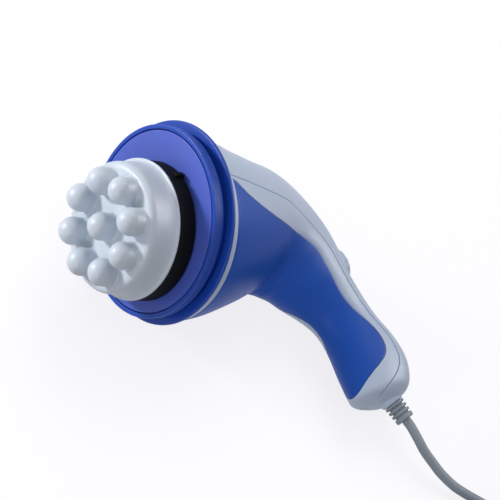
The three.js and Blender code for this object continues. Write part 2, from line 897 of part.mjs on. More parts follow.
function headRing() {
  const flangeEdge = flangeRadius - edgeRound;
  const lipEdge = lipRadius - edgeRound;
  piece("head_ring", turned([
    [spigotBack, ringInner],
    [spigotBack, spigotRadius],
    [beadBack, spigotRadius],
    [beadBack + beadWidth / 2, spigotRadius + beadHeight],
    [beadBack + beadWidth, spigotRadius],
    [flangeBack, spigotRadius],
    ...bend(flangeBack + edgeRound, flangeEdge, edgeRound, 180, 90, 2),
    ...bend(flangeFront - edgeRound, flangeEdge, edgeRound, 90, 0, 2),
    [flangeFront, grooveRadius],
    [collarBack, grooveRadius],
    [collarBack, lipRadius - collarTaper],
    ...bend(lipFront - edgeRound, lipEdge, edgeRound, 90, 0, 3),
    [lipFront, lipRadius - coverRim],
    [coverBack - fitGap, lipRadius - coverRim],
    [coverBack - fitGap, ringInner],
  ], ringSides), blueRing);
}

function frontCover() {
  const skirt = ringInner - fitGap;
  piece("front_cover", turned([
    [lipFront, coverHoleRadius],
    [lipFront, coverRadius],
    [coverBack, coverRadius],
    [coverBack, skirt],
    [coverBack - coverSkirt, skirt],
    [coverBack - coverSkirt, skirt - coverSkirtWall],
    [coverBack, skirt - coverSkirtWall],
    [coverBack, coverHoleRadius],
  ], 30), lilacCover);
}

function motorMount() {
  const holes = [circle(motorBearingRadius, 20)];
  for (const angle of bracketScrewAngles) {
    holes.push(circle(screwShank + fitGap, holeSides, ...aroundHead(bracketScrewCircle, angle)));
    holes.push(sector(bracketSlotInner, bracketSlotOuter, angle, bracketSlotSweep, 5));
  }
  for (const y of [-capScrewCircle, capScrewCircle]) holes.push(circle(screwShank + fitGap, holeSides, y, 0));
  piece("motor_bracket", slab(circle(bracketRadius, 36), bracketBack, bracketFront, holes), steel);
  bracketScrewAngles.forEach((angle, i) => {
    const [y, z] = aroundHead(bracketScrewCircle, angle);
    piece(`bracket_screw_${i + 1}`, bracketScrew(ledgeThickness).translate(0, y, z), steel);
  });
  [-capScrewCircle, capScrewCircle].forEach((y, i) => {
    piece(`motor_screw_${i + 1}`, bracketScrew(capThickness - fitGap).translate(0, y, 0), steel);
  });
}

// A screw whose head lies on the front of the bracket, with its tip beyond the back
function bracketScrew(beyond) {
  const length = bracketThickness + 2 * fitGap + beyond;
  return screw(length).rotateY(Math.PI).translate(bracketFront + fitGap + screwHeadHeight, 0, 0);
}

function motor() {
  const canInner = motorRadius - canWall;
  const capParts = [turned([
    [capFront, motorBearingRadius + fitGap],
    [capFront, motorRadius],
    [capBack, motorRadius],
    [capBack, motorBearingRadius + seatWall + fitGap],
    [seatBack, motorBearingRadius + seatWall + fitGap],
    [seatBack, motorBearingRadius / 2],
    [motorBearingBack - fitGap, motorBearingRadius / 2],
    [motorBearingBack - fitGap, motorBearingRadius + fitGap],
  ], 18)];
  const cuts = [ring(motorBearingBack - fitGap, capFront + overrun, 0, motorBearingRadius + fitGap, 18)];
  for (const y of [-capScrewCircle, capScrewCircle]) {
    cuts.push(ring(capBack - overrun, capFront + overrun, 0, screwShank + fitGap, 8).translate(0, y, 0));
  }
  const brushMiddle = (commutatorFront + commutatorBack) / 2;
  const holderSide = brushWidth / 2 + fitGap + holderWall;
  for (const way of [-1, 1]) {
    const ends = [way * holderStart, way * holderEnd].sort((a, b) => a - b);
    capParts.push(block([commutatorBack, -holderSide, ends[0]], [capBack + overrun, holderSide, ends[1]]));
    const terminal = [way * (motorRadius - overrun), way * (motorRadius + terminalHeight)].sort((a, b) => a - b);
    capParts.push(block([capBack + fitGap, -terminalWidth / 2, terminal[0]], [capBack + 2 * fitGap + canWall, terminalWidth / 2, terminal[1]]));
    const slot = [way * (commutatorRadius), way * (holderEnd + overrun)].sort((a, b) => a - b);
    cuts.push(block([brushMiddle - brushDepth / 2 - fitGap, -brushWidth / 2 - fitGap, slot[0]],
      [brushMiddle + brushDepth / 2 + fitGap, brushWidth / 2 + fitGap, slot[1]]));
  }
  piece("motor_end_cap", cut(joined(...capParts), ...cuts), blackPlastic);
  [-1, 1].forEach((way, i) => {
    const ends = [way * (commutatorRadius + fitGap), way * (commutatorRadius + fitGap + brushLength)].sort((a, b) => a - b);
    const brush = block([brushMiddle - brushDepth / 2, -brushWidth / 2, ends[0]], [brushMiddle + brushDepth / 2, brushWidth / 2, ends[1]]);
    piece(`carbon_brush_${i + 1}`, brush, ferrite);
    const middle = 90 + 180 * i;
    const outer = canInner - fitGap;
    const magnet = slab(sector(outer - magnetThickness, outer, middle, magnetSweep, 14), armatureBack - magnetOverhang, armatureFront + magnetOverhang);
    piece(`magnet_${i + 1}`, magnet, ferrite);
  });
  const bushSeat = bushRadius + fitGap;
  piece("motor_can", turned([
    [canFront, canInner],
    [canFront, motorRadius],
    [canBack + edgeRound, motorRadius],
    [canBack, motorRadius - edgeRound],
    [canBack, bushSeat + seatWall],
    [bushBack - fitGap - seatWall, bushSeat + seatWall],
    [bushBack - fitGap - seatWall, 0],
    [bushBack - fitGap, 0],
    [bushBack - fitGap, bushSeat],
    [bushFront, bushSeat],
    [bushFront, canInner],
  ], 20), steel);
  piece("rear_bush", ring(bushBack, bushFront, shaftRadius + fitGap, bushRadius, 16), brass);
  piece("front_bearing", ballBearing(motorBearingBack, capFront, shaftRadius + fitGap, motorBearingRadius), steel);
}

// A ball bearing with its two races and the shields sunk between them
function ballBearing(back, front, inner, outer) {
  return turned([
    [back, inner],
    [back, inner + raceWidth],
    [back + raceRecess, inner + raceWidth],
    [back + raceRecess, outer - raceWidth],
    [back, outer - raceWidth],
    [back, outer],
    [front, outer],
    [front, outer - raceWidth],
    [front - raceRecess, outer - raceWidth],
    [front - raceRecess, inner + raceWidth],
    [front, inner + raceWidth],
    [front, inner],
  ], 13);
}

// A round bar with slots along it
function slotted(back, front, radius, bore, slots, width, depth, steps) {
  const outline = [];
  const half = Math.asin(width / 2 / radius);
  for (let i = 0; i < slots; i += 1) {
    const from = (i / slots) * Math.PI * 2;
    const to = ((i + 1) / slots) * Math.PI * 2;
    for (let k = 0; k <= steps; k += 1) {
      const angle = from + half + ((to - from - 2 * half) * k) / steps;
      outline.push([radius * Math.cos(angle), radius * Math.sin(angle)]);
    }
    for (const way of [-1, 1]) {
      const [a, b] = [radius - depth, (way * width) / 2];
      outline.push([a * Math.cos(to) - b * Math.sin(to), a * Math.sin(to) + b * Math.cos(to)]);
    }
  }
  return slab(outline, back, front, [circle(bore, 12)]);
}

function winding(back, front) {
  const edge = (front - back) / 2;
  return turned([
    [back, windingInner],
    [back, windingOuter - edge],
    ...bend((back + front) / 2, windingOuter - edge, edge, 150, 30, 3),
    [front, windingOuter - edge],
    [front, windingInner],
  ], 12);
}

function rotor() {
  piece("rotor_shaft", ring(bushBack, hubBack + shaftSeat, 0, shaftRadius, 12), steel);
  const bore = shaftRadius + fitGap;
  const core = slotted(armatureBack, armatureFront, armatureRadius, bore, armatureSlots, armatureSlotWidth, armatureSlotDepth, 4);
  piece("armature_core", core, steel);
  piece("winding_front", winding(armatureFront + fitGap, windingFront), copper);
  piece("winding_rear", winding(windingRear - windingLength, windingRear), copper);
  const bars = slotted(commutatorBack, commutatorFront, commutatorRadius, bore, armatureSlots, commutatorCut, commutatorCut, 2);
  piece("commutator", bars, copper);
  const fan = [
    ring(fanFront - fanPlate, fanFront, bore, fanRadius, 27),
    ring(fanBack, fanFront, bore, fanHub, 9),
  ];
  for (let i = 0; i < fanBlades; i += 1) {
    const line = [];
    for (let k = 0; k <= 3; k += 1) {
      const radius = fanHub - bladeThickness + ((fanRadius - fanHub) * k) / 3;
      line.push([radius, (360 / fanBlades) * i + (bladeLean * k) / 3]);
    }
    const sideOf = (way) => line.map(([radius, angle]) => {
      const [y, z] = aroundHead(radius, angle);
      const [dy, dz] = aroundHead((way * bladeThickness) / 2, angle + 90);
      return [y + dy, z + dz];
    });
    fan.push(slab([...sideOf(1), ...sideOf(-1).reverse()], fanBack, fanFront - fanPlate / 2));
  }
  piece("cooling_fan", joined(...fan), blackPlastic);
}

function eccentric() {
  const opposite = eccentricPhase + 180;
  const weightMiddle = (hubRadius + hubPlateRadius) / 2;
  const rivets = [opposite - rivetSpread, opposite + rivetSpread].map((angle) => aroundHead(weightMiddle, angle));
  const rivet = (back, front, radius, [y, z]) => ring(back, front, 0, radius, shankSides).translate(0, y, z);
  const hub = joined(
    ring(hubBack, hubFront, 0, hubRadius, 24),
    ring(hubBack, hubBack + hubPlateThickness, 0, hubPlateRadius, 32),
  );
  piece("eccentric_hub", cut(
    hub,
    ring(hubBack - overrun, hubBack + shaftSeat + fitGap, 0, shaftRadius + fitGap, 12),
    onEccentric(ring(hubFront - pinSeat - fitGap, hubFront + overrun, 0, pinRadius + fitGap, 12)),
    ...rivets.map((at) => rivet(hubBack - overrun, hubFront, rivetRadius + fitGap, at)),
  ), zinc);
  const weight = slab(sector(hubRadius + fitGap, hubPlateRadius, opposite, weightSweep, 12), weightBack, weightFront);
  piece("counterweight", joined(weight, ...rivets.map((at) => rivet(hubBack, weightFront - overrun, rivetRadius, at))), zinc);
  const clipBack = bearingFront + fitGap;
  const clipFront = clipBack + clipThickness;
  const neck = pinRadius - clipWidth / 2;
  piece("eccentric_pin", onEccentric(turned([
    [hubFront - pinSeat, 0],
    [hubFront - pinSeat, pinRadius],
    [hubFront + fitGap, pinRadius],
    [hubFront + fitGap, pinShoulder],
    [bearingBack - fitGap, pinShoulder],
    [bearingBack - fitGap, pinRadius],
    [clipBack - fitGap / 2, pinRadius],
    [clipBack - fitGap / 2, neck],
    [clipFront + fitGap / 2, neck],
    [clipFront + fitGap / 2, pinRadius],
    [clipFront + clipWidth, pinRadius],
    [clipFront + clipWidth, 0],
  ], 12)), steel);
  const clip = sector(neck + fitGap, pinRadius + clipWidth, opposite, clipSweep, 20);
  piece("pin_clip", onEccentric(slab(clip, clipBack, clipFront)), steel);
}

function carrier() {
  const hubInner = bearingRadius + fitGap;
  const hubOuter = hubInner + drumWall;
  const spigotInner = carrierSpigot - carrierSpigotWall;
  const spigotFront = drumFront + carrierSpigotLength;
  const hubEnd = bearingBack - sweepGap;
  const parts = [turned([
    [hubEnd, hubInner],
    [hubEnd, hubOuter],
    [plateBack, hubOuter],
    [plateBack, drumRadius - drumWall],
    [drumBack, drumRadius - drumWall],
    [drumBack, drumRadius],
    [drumFront - edgeRound, drumRadius],
    [drumFront, drumRadius - edgeRound],
    [drumFront, carrierSpigot],
    [spigotFront - edgeRound, carrierSpigot],
    [spigotFront, carrierSpigot - edgeRound],
    [spigotFront, spigotInner],
    [plateBack, spigotInner],
    [plateBack, hubInner],
  ], 22)];
  for (let i = 0; i < lugCount; i += 1) {
    const lug = block([drumBack, drumRadius - drumWall, -lugWidth / 2], [drumBack + lugLength, drumRadius + lugHeight, lugWidth / 2]);
    parts.push(lug.rotateX(degrees(lugPhase + (360 / lugCount) * i)));
  }
  piece("carrier", joined(...parts).translate([0, eccentricY, eccentricZ]), blackPlastic);
  piece("carrier_bearing", onEccentric(ballBearing(bearingBack, bearingFront, pinRadius + fitGap, bearingRadius)), steel);
}

function applicator() {
  const socketInner = carrierSpigot + fitGap;
  const socketOuter = socketInner + socketWall;
  const lipHalf = applicatorLipThickness / 2;
  const neckFront = applicatorBack + applicatorLipThickness + applicatorNeck;
  const innerFace = applicatorFace - applicatorWall;
  const socketEnd = drumFront + carrierSpigotLength + applicatorWall;
  const cornerX = applicatorFace - applicatorEdge;
  const cornerR = applicatorRadius - applicatorEdge;
  const bowl = turned([
    [applicatorFace, 0],
    ...bend(cornerX, cornerR, applicatorEdge, 0, 90, 3),
    [neckFront, applicatorNeckRadius],
    [applicatorBack + applicatorLipThickness, applicatorNeckRadius + applicatorNeck / 2],
    ...bend(applicatorBack + lipHalf, applicatorLip - lipHalf, lipHalf, 0, 180, 2),
    [applicatorBack, applicatorNeckRadius - applicatorWall],
    [cornerX, applicatorRadius - applicatorWall],
    [innerFace, cornerR],
    [innerFace, socketOuter],
    [applicatorBack, socketOuter],
    [applicatorBack, socketInner],
    [socketEnd, socketInner],
    [socketEnd, 0],
  ], 28);
  const stud = () => turned([
    [applicatorFace - overrun, 0],
    [applicatorFace - overrun, studRadius],
    ...bend(applicatorFace + studRise, 0, studRadius, 90, 0, 4),
  ], 9);
  const studs = [stud()];
  for (let i = 0; i < studCount; i += 1) {
    const [y, z] = aroundHead(studCircle, studPhase + (360 / studCount) * i);
    studs.push(stud().translate(0, y, z));
  }
  piece("applicator", joined(bowl, ...studs).translate([0, eccentricY, eccentricZ]), whiteHead);
}

function speedControl() {
  const rim = [];
  for (let i = 0; i < dialRibs * 2; i += 1) {
    rim.push(aroundHead(dialRadius - (i % 2) * dialRibDepth, (180 / dialRibs) * i));
  }
  const stemEnd = potTop - potBore + fitGap;
  const dial = joined(
    slab(rim, fitGap - dialSeat, dialProud - edgeRound / 2),
    turned([
      [stemEnd, 0],
      [stemEnd, dialStem],
      [0, dialStem],
      [0, dialRadius - dialRibDepth - edgeRound],
      [dialProud, dialRadius - 2 * edgeRound],
      [dialProud, 0],
    ], 28),
  );
  piece("speed_dial", atDial(surface(dial)), lightShell);
  const pot = cut(
    ring(potTop - potDepth, potTop, 0, potRadius, 20),
    ring(potTop - potBore, potTop + overrun, 0, dialStem + fitGap, 14),
  );
  piece("potentiometer", atDial(surface(pot)), steel);
  const [l, w] = [boardLength / 2, boardWidth / 2];
  const corner = boardPostRadius;
  const outline = [[l, w], [-l, w], [-l, -w + corner], [-l + corner, -w], [l, -w]];
  const holes = boardPosts.map(([y, z]) => circle(screwShank + fitGap, 8, y, z));
  piece("speed_control_board", atDial(slab(outline, boardBottom, boardTop, holes)), laminate);
  boardPosts.forEach(([y, z], i) => {
    const shape = screw(boardThickness + 2 * fitGap + boardScrewLength - overrun);
    const start = boardBottom - fitGap - screwHeadHeight;
    piece(`board_screw_${i + 1}`, atDial(shape.translate(start, y, z)), steel);
  });
}

// The parts that stand on the board, each drawn from the board outwards
function boardParts() {
  const base = boardBottom - fitGap;
  const stand = ([height, length, width], y, z) => block([base - height, y, z], [base, y + length, z + width]);
  const edge = -boardWidth / 2 + overrun;
  const capacitorY = capacitorSize[1] / 2 - overrun;
  piece("capacitor", atDial(stand(capacitorSize, capacitorY, edge)), creamPlastic);
  const rectifierY = capacitorY - fitGap - rectifierSize[1] - overrun / 2;
  const bridge = stand(rectifierSize, rectifierY, edge);
  piece("rectifier", atDial(bridge), blackPlastic);
  const sinkY = rectifierY - fitGap - heatSinkThickness;
  const triacY = sinkY - fitGap - triacSize[1];
  const triacZ = edge + heatSinkThickness + fitGap;
  piece("triac", atDial(stand(triacSize, triacY, triacZ)), blackPlastic);
  const sinkEnd = triacZ + triacSize[2] + fitGap;
  const sink = [
    [sinkY + heatSinkThickness, edge],
    [sinkY + heatSinkThickness, sinkEnd + heatSinkThickness],
    [triacY, sinkEnd + heatSinkThickness],
    [triacY, sinkEnd],
    [sinkY, sinkEnd],
    [sinkY, edge + heatSinkThickness],
    [triacY, edge + heatSinkThickness],
    [triacY, edge],
  ];
  piece("heat_sink", atDial(slab(sink, base - heatSinkHeight, base)), aluminium);
  const reachOut = chokeRadius + chokeCore;
  const choke = new THREE.TorusGeometry(chokeRadius, chokeCore, 6, 12).rotateY(Math.PI / 2);
  const chokeY = -boardLength / 2 + reachOut + overrun / 2;
  piece("choke", atDial(choke.translate(base - chokeCore, chokeY, boardWidth / 2 - reachOut)), copper);
}

function strainRelief() {
  const profile = [
    [-reliefInside, 0],
    [-reliefInside, reliefCore],
    [fitGap, reliefCore],
    [fitGap, reliefStart],
  ];
  const pitch = (reliefOutside - fitGap) / reliefRibs;
  const radiusAt = (x) => reliefStart + ((reliefTip - reliefStart) * x) / reliefOutside;
  for (let i = 0; i < reliefRibs; i += 1) {
    const end = fitGap + (i + 1) * pitch;
    if (i + 1 === reliefRibs) {
      profile.push([end - edgeRound / 2, radiusAt(end)], [end, radiusAt(end) - edgeRound / 2]);
    } else {
      profile.push([end - reliefNotch, radiusAt(end - reliefNotch)], [end - reliefNotch, reliefCore]);
      profile.push([end, reliefCore], [end, radiusAt(end)]);
    }
  }
  profile.push([fitGap + reliefRibs * pitch, 0]);
  piece("strain_relief", atExit(turned(profile, 10)), lightCord);
}

function cordClamp() {
  const [low, high] = [clampMiddle - clampWidth / 2, clampMiddle + clampWidth / 2];
  const bar = block([low, -clampLift - clampThickness, -clampLength / 2], [high, -clampLift, clampLength / 2]);
  const shape = cut(atExit(bar), clampHole(-clampScrewSpread), clampHole(clampScrewSpread));
  piece("cord_clamp", shape, blackPlastic);
  [-clampScrewSpread, clampScrewSpread].forEach((z, i) => {
    const start = -clampLift - clampThickness - fitGap - screwHeadHeight;
    const length = clampThickness + fitGap + clampLift + clampScrewLength - overrun;
    const middle = new THREE.Vector3(clampMiddle, start, z);
    piece(`clamp_screw_${i + 1}`, atExit(placed(screw(length), middle, new THREE.Vector3(0, 1, 0))), steel);
  });
}

const vectors = (rows) => rows.map((row) => new THREE.Vector3(...row));

// A tube of even radius along a smooth route
function tube(points, radius, sides, steps) {
  const shape = new THREE.Shape(circle(radius, sides).map(([x, y]) => new THREE.Vector2(x, y)));
  return new THREE.ExtrudeGeometry(shape, { steps, extrudePath: smooth(points), bevelEnabled: false });
}

// The cord inside the tail, and the two leads from the board to the motor
function innerLeads() {
  piece("supply_lead", tube(vectors(supplyRoute), cordRadius, cordSides, 14), lightCord);
  [1, -1].forEach((way, i) => {
    const route = vectors(leadRoute.map(([x, y, z]) => [x, y, way * z]));
    piece(`motor_lead_${i + 1}`, tube(route, leadRadius, holeSides, 12), blackPlastic);
  });
}

// Lays the unit on its far side, on the facet of its hull that lies nearest its balance
function layDown() {
  const hull = new ConvexHull().setFromPoints(hullPoints);
  const centre = balance.moment.clone().divideScalar(balance.mass);
  let rest = null;
  let least = Infinity;
  for (const face of hull.faces) {
    const height = face.constant - face.normal.dot(centre);
    if (-face.normal.z > sideFacing && height < least) {
      rest = face;
      least = height;
    }
  }
  const up = rest.normal.clone().negate();
  const along = exitPoint.clone().negate();
  along.addScaledVector(up, -along.dot(up)).normalize();
  const across = new THREE.Vector3().crossVectors(up, along);
  const turn = new THREE.Matrix4().makeBasis(along, across, up).transpose();
  unit.quaternion.setFromRotationMatrix(turn);
  unit.updateMatrixWorld(true);
  const box = new THREE.Box3();
  for (const point of hullPoints) box.expandByPoint(point.clone().applyMatrix4(unit.matrixWorld));
  const middle = box.getCenter(new THREE.Vector3());
  unit.position.set(-middle.x, -middle.y, -box.min.z);
}

// A piece of the cord, which lies in the group's own frame
function cordPiece(name, geometry, material) {
  const mesh = new THREE.Mesh(weld(geometry), material);
  mesh.geometry.computeVertexNormals();
  mesh.name = name;
  massager.add(mesh);
}

// Centre line of the coil: in on the lower layer, up at the middle, and out on the upper one
function coilLine() {
  const pitch = 2 * cordRadius + coilGap;
  const centre = new THREE.Vector3(...coilCentre);
  const points = [];
  const steps = 2 * coilLayerTurns * coilStepsPerTurn;
  for (let i = 0; i <= steps; i += 1) {
    const turns = i / coilStepsPerTurn - coilLayerTurns;
    const radius = coilInner + pitch * Math.abs(turns);
    const climb = THREE.MathUtils.smoothstep(turns, -1 / 4, 1 / 4);
    const angle = -Math.PI / 2 - turns * Math.PI * 2;
    points.push(new THREE.Vector3(Math.cos(angle) * radius, Math.sin(angle) * radius, climb * pitch).add(centre));
  }
  const straight = new THREE.Vector3(2 * cordRadius, 0, 0);
  return [points[0].clone().add(straight), ...points, points[steps].clone().sub(straight)];
}

// The least gap between turns, measured between points more than half a turn apart
function leastGap(points) {
  let least = Infinity;
  for (let i = 0; i < points.length; i += 1) {
    for (let j = i + coilStepsPerTurn / 2; j < points.length; j += 1) {
      least = Math.min(least, points[i].distanceTo(points[j]));
    }
  }
  return least - 2 * cordRadius;
}

// A tube over given points, with flat ends
function coilTube(points) {
  const rings = points.map((point, i) => {
    const before = points[Math.max(i - 1, 0)];
    const after = points[Math.min(i + 1, points.length - 1)];
    const run = after.clone().sub(before).normalize();
    const side = new THREE.Vector3(run.y, -run.x, 0).normalize();
    const up = new THREE.Vector3().crossVectors(side, run);
    return circle(cordRadius, coilSides).map(([a, b]) =>
      point.clone().addScaledVector(side, a).addScaledVector(up, b));
  });
  return loft(rings);
}

function mainsCord() {
  cordPiece("mains_cord", tube(vectors(cordRoute), cordRadius, cordSides, 18), lightCord);
  const line = coilLine();
  console.log("least gap between the coil's turns, mm:", leastGap(line).toFixed(2));
  cordPiece("cord_coil", coilTube(line), lightCord);
  cordPiece("plug_lead", tube(vectors(plugRoute), cordRadius, cordSides, 20), lightCord);
  const pitch = 2 * cordRadius + coilGap;
  const halfWidth = (coilLayerTurns - 1) / 2 * pitch + cordRadius + tieGap;
  const [low, high] = [-cordRadius - tieGap, pitch + cordRadius + tieGap];
  const frame = (grow) => [
    [-halfWidth - grow, low - grow],
    [halfWidth + grow, low - grow],
    [halfWidth + grow, high + grow],
    [-halfWidth - grow, high + grow],
  ];
  const tie = slab(frame(tieThickness), -tieWidth / 2, tieWidth / 2, [frame(0)]);
  const [x, y, z] = coilCentre;
  const bundle = y + coilInner + (coilLayerTurns / 2) * pitch;
  cordPiece("cord_tie", tie.translate(x, bundle, z), blackPlastic);
}

// The plug, drawn along x from its cord end and laid where the cord stops
function plug() {
  const [end, before] = vectors([plugRoute[plugRoute.length - 1], plugRoute[plugRoute.length - 2]]);
  const way = end.clone().sub(before).setZ(0).normalize();
  const up = new THREE.Vector3(0, 0, 1);
  const atPlug = (geometry) => placed(geometry, end, way, up);
  const bodyStart = fitGap + plugRelief;
  const bodyEnd = bodyStart + plugBody;
  const outline = new THREE.Shape([
    new THREE.Vector2(bodyStart, -plugNeckHalfWidth),
    new THREE.Vector2(bodyStart + plugBody / 3, -plugNeckHalfWidth - plugBevel / 2),
    new THREE.Vector2(bodyEnd - plugBody / 3, -plugHalfWidth),
    new THREE.Vector2(bodyEnd, -plugHalfWidth),
    new THREE.Vector2(bodyEnd, plugHalfWidth),
    new THREE.Vector2(bodyEnd - plugBody / 3, plugHalfWidth),
    new THREE.Vector2(bodyStart + plugBody / 3, plugNeckHalfWidth + plugBevel / 2),
    new THREE.Vector2(bodyStart, plugNeckHalfWidth),
  ]);
  const body = new THREE.ExtrudeGeometry(outline, {
    depth: plugThickness - 2 * plugBevel,
    bevelThickness: plugBevel,
    bevelSize: plugBevel,
    bevelOffset: -plugBevel,
    bevelSegments: 2,
  }).translate(0, 0, plugBevel - plugThickness / 2);
  const relief = turned([
    [fitGap, 0],
    [fitGap, plugReliefTip],
    [bodyStart + overrun, plugReliefRoot],
    [bodyStart + overrun, 0],
  ], 14);
  const pins = [-plugPinSpread, plugPinSpread];
  const holes = pins.map((y) => ring(bodyEnd - plugPinRoot, bodyEnd + overrun, 0, plugPinRadius + fitGap, 12).translate(0, y, 0));
  cordPiece("plug_body", atPlug(surface(cut(joined(body, relief), ...holes))), lightCord);
  pins.forEach((y, i) => {
    const pin = turned([
      [bodyEnd - plugPinRoot + fitGap, 0],
      [bodyEnd - plugPinRoot + fitGap, plugPinRadius],
      [bodyEnd + plugPinLength - plugPinRadius / 2, plugPinRadius],
      [bodyEnd + plugPinLength, plugPinRadius / 2],
      [bodyEnd + plugPinLength, 0],
    ], 12);
    cordPiece(`plug_pin_${i + 1}`, atPlug(pin.translate(0, y, 0)), brass);
  });
}

const shells = housingBody();
backShell(shells);
frontShell(shells);
shellScrews();
headRing();
frontCover();
motorMount();
motor();
rotor();
eccentric();
carrier();
applicator();
speedControl();
boardParts();
strainRelief();
cordClamp();
innerLeads();
layDown();
mainsCord();
plug();

export default massager;
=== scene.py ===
# Looks of the orbital body massager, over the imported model
# Shapes are drawn in the head's frame in millimetres: x along the head axis, y down the
# handle, z to the near side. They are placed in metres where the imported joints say.
import json
import math

import bmesh
import bpy
import numpy as np
from mathutils import Matrix, Vector


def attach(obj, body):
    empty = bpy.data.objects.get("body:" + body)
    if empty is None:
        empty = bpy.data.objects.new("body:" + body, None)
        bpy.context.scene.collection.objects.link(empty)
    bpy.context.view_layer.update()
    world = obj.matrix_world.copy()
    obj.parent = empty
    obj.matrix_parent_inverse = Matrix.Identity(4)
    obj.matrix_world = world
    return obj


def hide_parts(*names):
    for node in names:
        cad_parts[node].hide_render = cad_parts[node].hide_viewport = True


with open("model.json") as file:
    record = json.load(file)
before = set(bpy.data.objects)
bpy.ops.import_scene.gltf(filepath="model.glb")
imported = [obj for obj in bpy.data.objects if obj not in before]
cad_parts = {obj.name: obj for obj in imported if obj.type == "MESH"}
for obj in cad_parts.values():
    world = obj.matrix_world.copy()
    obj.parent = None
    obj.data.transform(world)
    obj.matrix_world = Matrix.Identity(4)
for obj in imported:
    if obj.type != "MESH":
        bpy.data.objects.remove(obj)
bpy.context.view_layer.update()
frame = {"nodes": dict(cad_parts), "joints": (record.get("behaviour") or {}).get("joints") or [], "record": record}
NODES = frame["nodes"]
JOINTS = {joint["name"]: joint for joint in frame["joints"]}
MM = 0.001

# The head's frame in the row frame
CENTRE = Vector(JOINTS["rotor_spin"]["pos_m"])
FORWARD = Vector(JOINTS["rotor_spin"]["axis"]).normalized()
DIAL_OUT = Vector(JOINTS["dial_turn"]["axis"]).normalized()
SIDE = DIAL_OUT.cross(FORWARD).normalized()
DOWN = SIDE.cross(FORWARD)
AXES = np.array([FORWARD, DOWN, SIDE])


def in_head_frame(point):
    offset = (Vector(point) - CENTRE) / MM
    return np.array([offset.dot(axis) for axis in (FORWARD, DOWN, SIDE)])


ECCENTRIC = in_head_frame(JOINTS["carrier_spin"]["pos_m"])[1:]
DIAL_CENTRE = in_head_frame(JOINTS["dial_turn"]["pos_m"]) * (1, 1, 0)

# Camera at the photograph's angle, far off with a long lens
PHOTO_PIXELS = 500
HEAD_PIXEL_ACROSS = 167.6
HEAD_PIXEL_DOWN = 222.7
MM_PER_PIXEL = 0.5345
PIXEL = MM_PER_PIXEL * MM
RIGHT_SHARES = (-0.752, 0.3005, 0.587)
UP_SHARES = (0.068, -0.8499, 0.5225)
CAMERA_DISTANCE = 2.4
SENSOR_WIDTH = 36


def direction(shares):
    return (FORWARD * shares[0] + DOWN * shares[1] + SIDE * shares[2]).normalized()


VIEW_RIGHT = direction(RIGHT_SHARES)
VIEW_BACK = VIEW_RIGHT.cross(direction(UP_SHARES)).normalized()
VIEW_UP = VIEW_BACK.cross(VIEW_RIGHT)
looked_at = (
    CENTRE
    + VIEW_RIGHT * (PHOTO_PIXELS / 2 - HEAD_PIXEL_ACROSS) * PIXEL
    + VIEW_UP * (HEAD_PIXEL_DOWN - PHOTO_PIXELS / 2) * PIXEL
)
camera = bpy.data.objects.new("camera", bpy.data.cameras.new("camera"))
bpy.context.scene.collection.objects.link(camera)
camera.location = looked_at + VIEW_BACK * CAMERA_DISTANCE
camera.rotation_mode = "QUATERNION"
camera.rotation_quaternion = Matrix((VIEW_RIGHT, VIEW_UP, VIEW_BACK)).transposed().to_quaternion()
camera.data.sensor_width = SENSOR_WIDTH
camera.data.lens = SENSOR_WIDTH * CAMERA_DISTANCE / (PHOTO_PIXELS * PIXEL)
camera.data.clip_start = 0.05
camera.data.clip_end = 50
bpy.context.scene.camera = camera
bpy.context.scene.view_settings.view_transform = "Standard"


# Smooth curves through rows of numbers, at shares of their run
def smooth(rows, shares):
    rows = np.asarray(rows, float)
    ends = np.vstack([2 * rows[0] - rows[1], rows, 2 * rows[-1] - rows[-2]])
    at = np.clip(np.asarray(shares, float), 0, 1) * (len(rows) - 1)
    i = np.minimum(at.astype(int), len(rows) - 2)
    w = (at - i)[:, None]
    p0, p1, p2, p3 = (ends[i + k] for k in range(4))
    t0, t1 = (p2 - p0) / 2, (p3 - p1) / 2
    return p1 + t0 * w + (3 * (p2 - p1) - 2 * t0 - t1) * w**2 + (2 * (p1 - p2) + t0 + t1) * w**3


# Rises from 0 to 1 with level ends
def ease(w):
    w = np.clip(w, 0, 1)
    return w * w * (3 - 2 * w)


# Cord: its free run, its coil and its run to the plug, in the row frame
CORD_RADIUS = 2.65
COIL_CENTRE = np.array([-196, 64.8, 3.9])
COIL_INNER = 20.3
COIL_GAP = 0.45
COIL_PITCH = 2 * CORD_RADIUS + COIL_GAP
COIL_LAYER_TURNS = 4
COIL_CLIMB_TURNS = 0.5
COIL_TURN_STEPS = 40
CORD_SAMPLES = 67
PLUG_SAMPLES = 43
CORD_ROUTE = [
    (-109.4, 9.6, 16.5),
    (-113.4, 11.3, 16.1),
    (-120, 15, 14.9),
    (-126.2, 18.1, 12.9),
    (-133.4, 20.2, 10.5),
    (-140.9, 22, 8.1),
    (-149.7, 22.9, 5.9),
    (-156.2, 22.6, 4.8),
    (-165, 21.9, 4.05),
    (-175, 21.5, 3.85),
    (-183, 21.5, 3.85),
    (-190.4, 21.5, 3.85),
]
PLUG_ROUTE = [
    (-201.6, 21.5, 9.6),
    (-207, 21.7, 9.7),
    (-214.5, 24, 10.1),
    (-222, 28.5, 11),
    (-228.5, 35.5, 12.8),
    (-232.5, 44, 14.6),
    (-233.5, 53, 15.6),
    (-231.5, 62, 16),
    (-226.5, 70, 16.6),
    (-219, 76, 17.6),
    (-210, 79, 18.6),
    (-203, 79.8, 19),
]


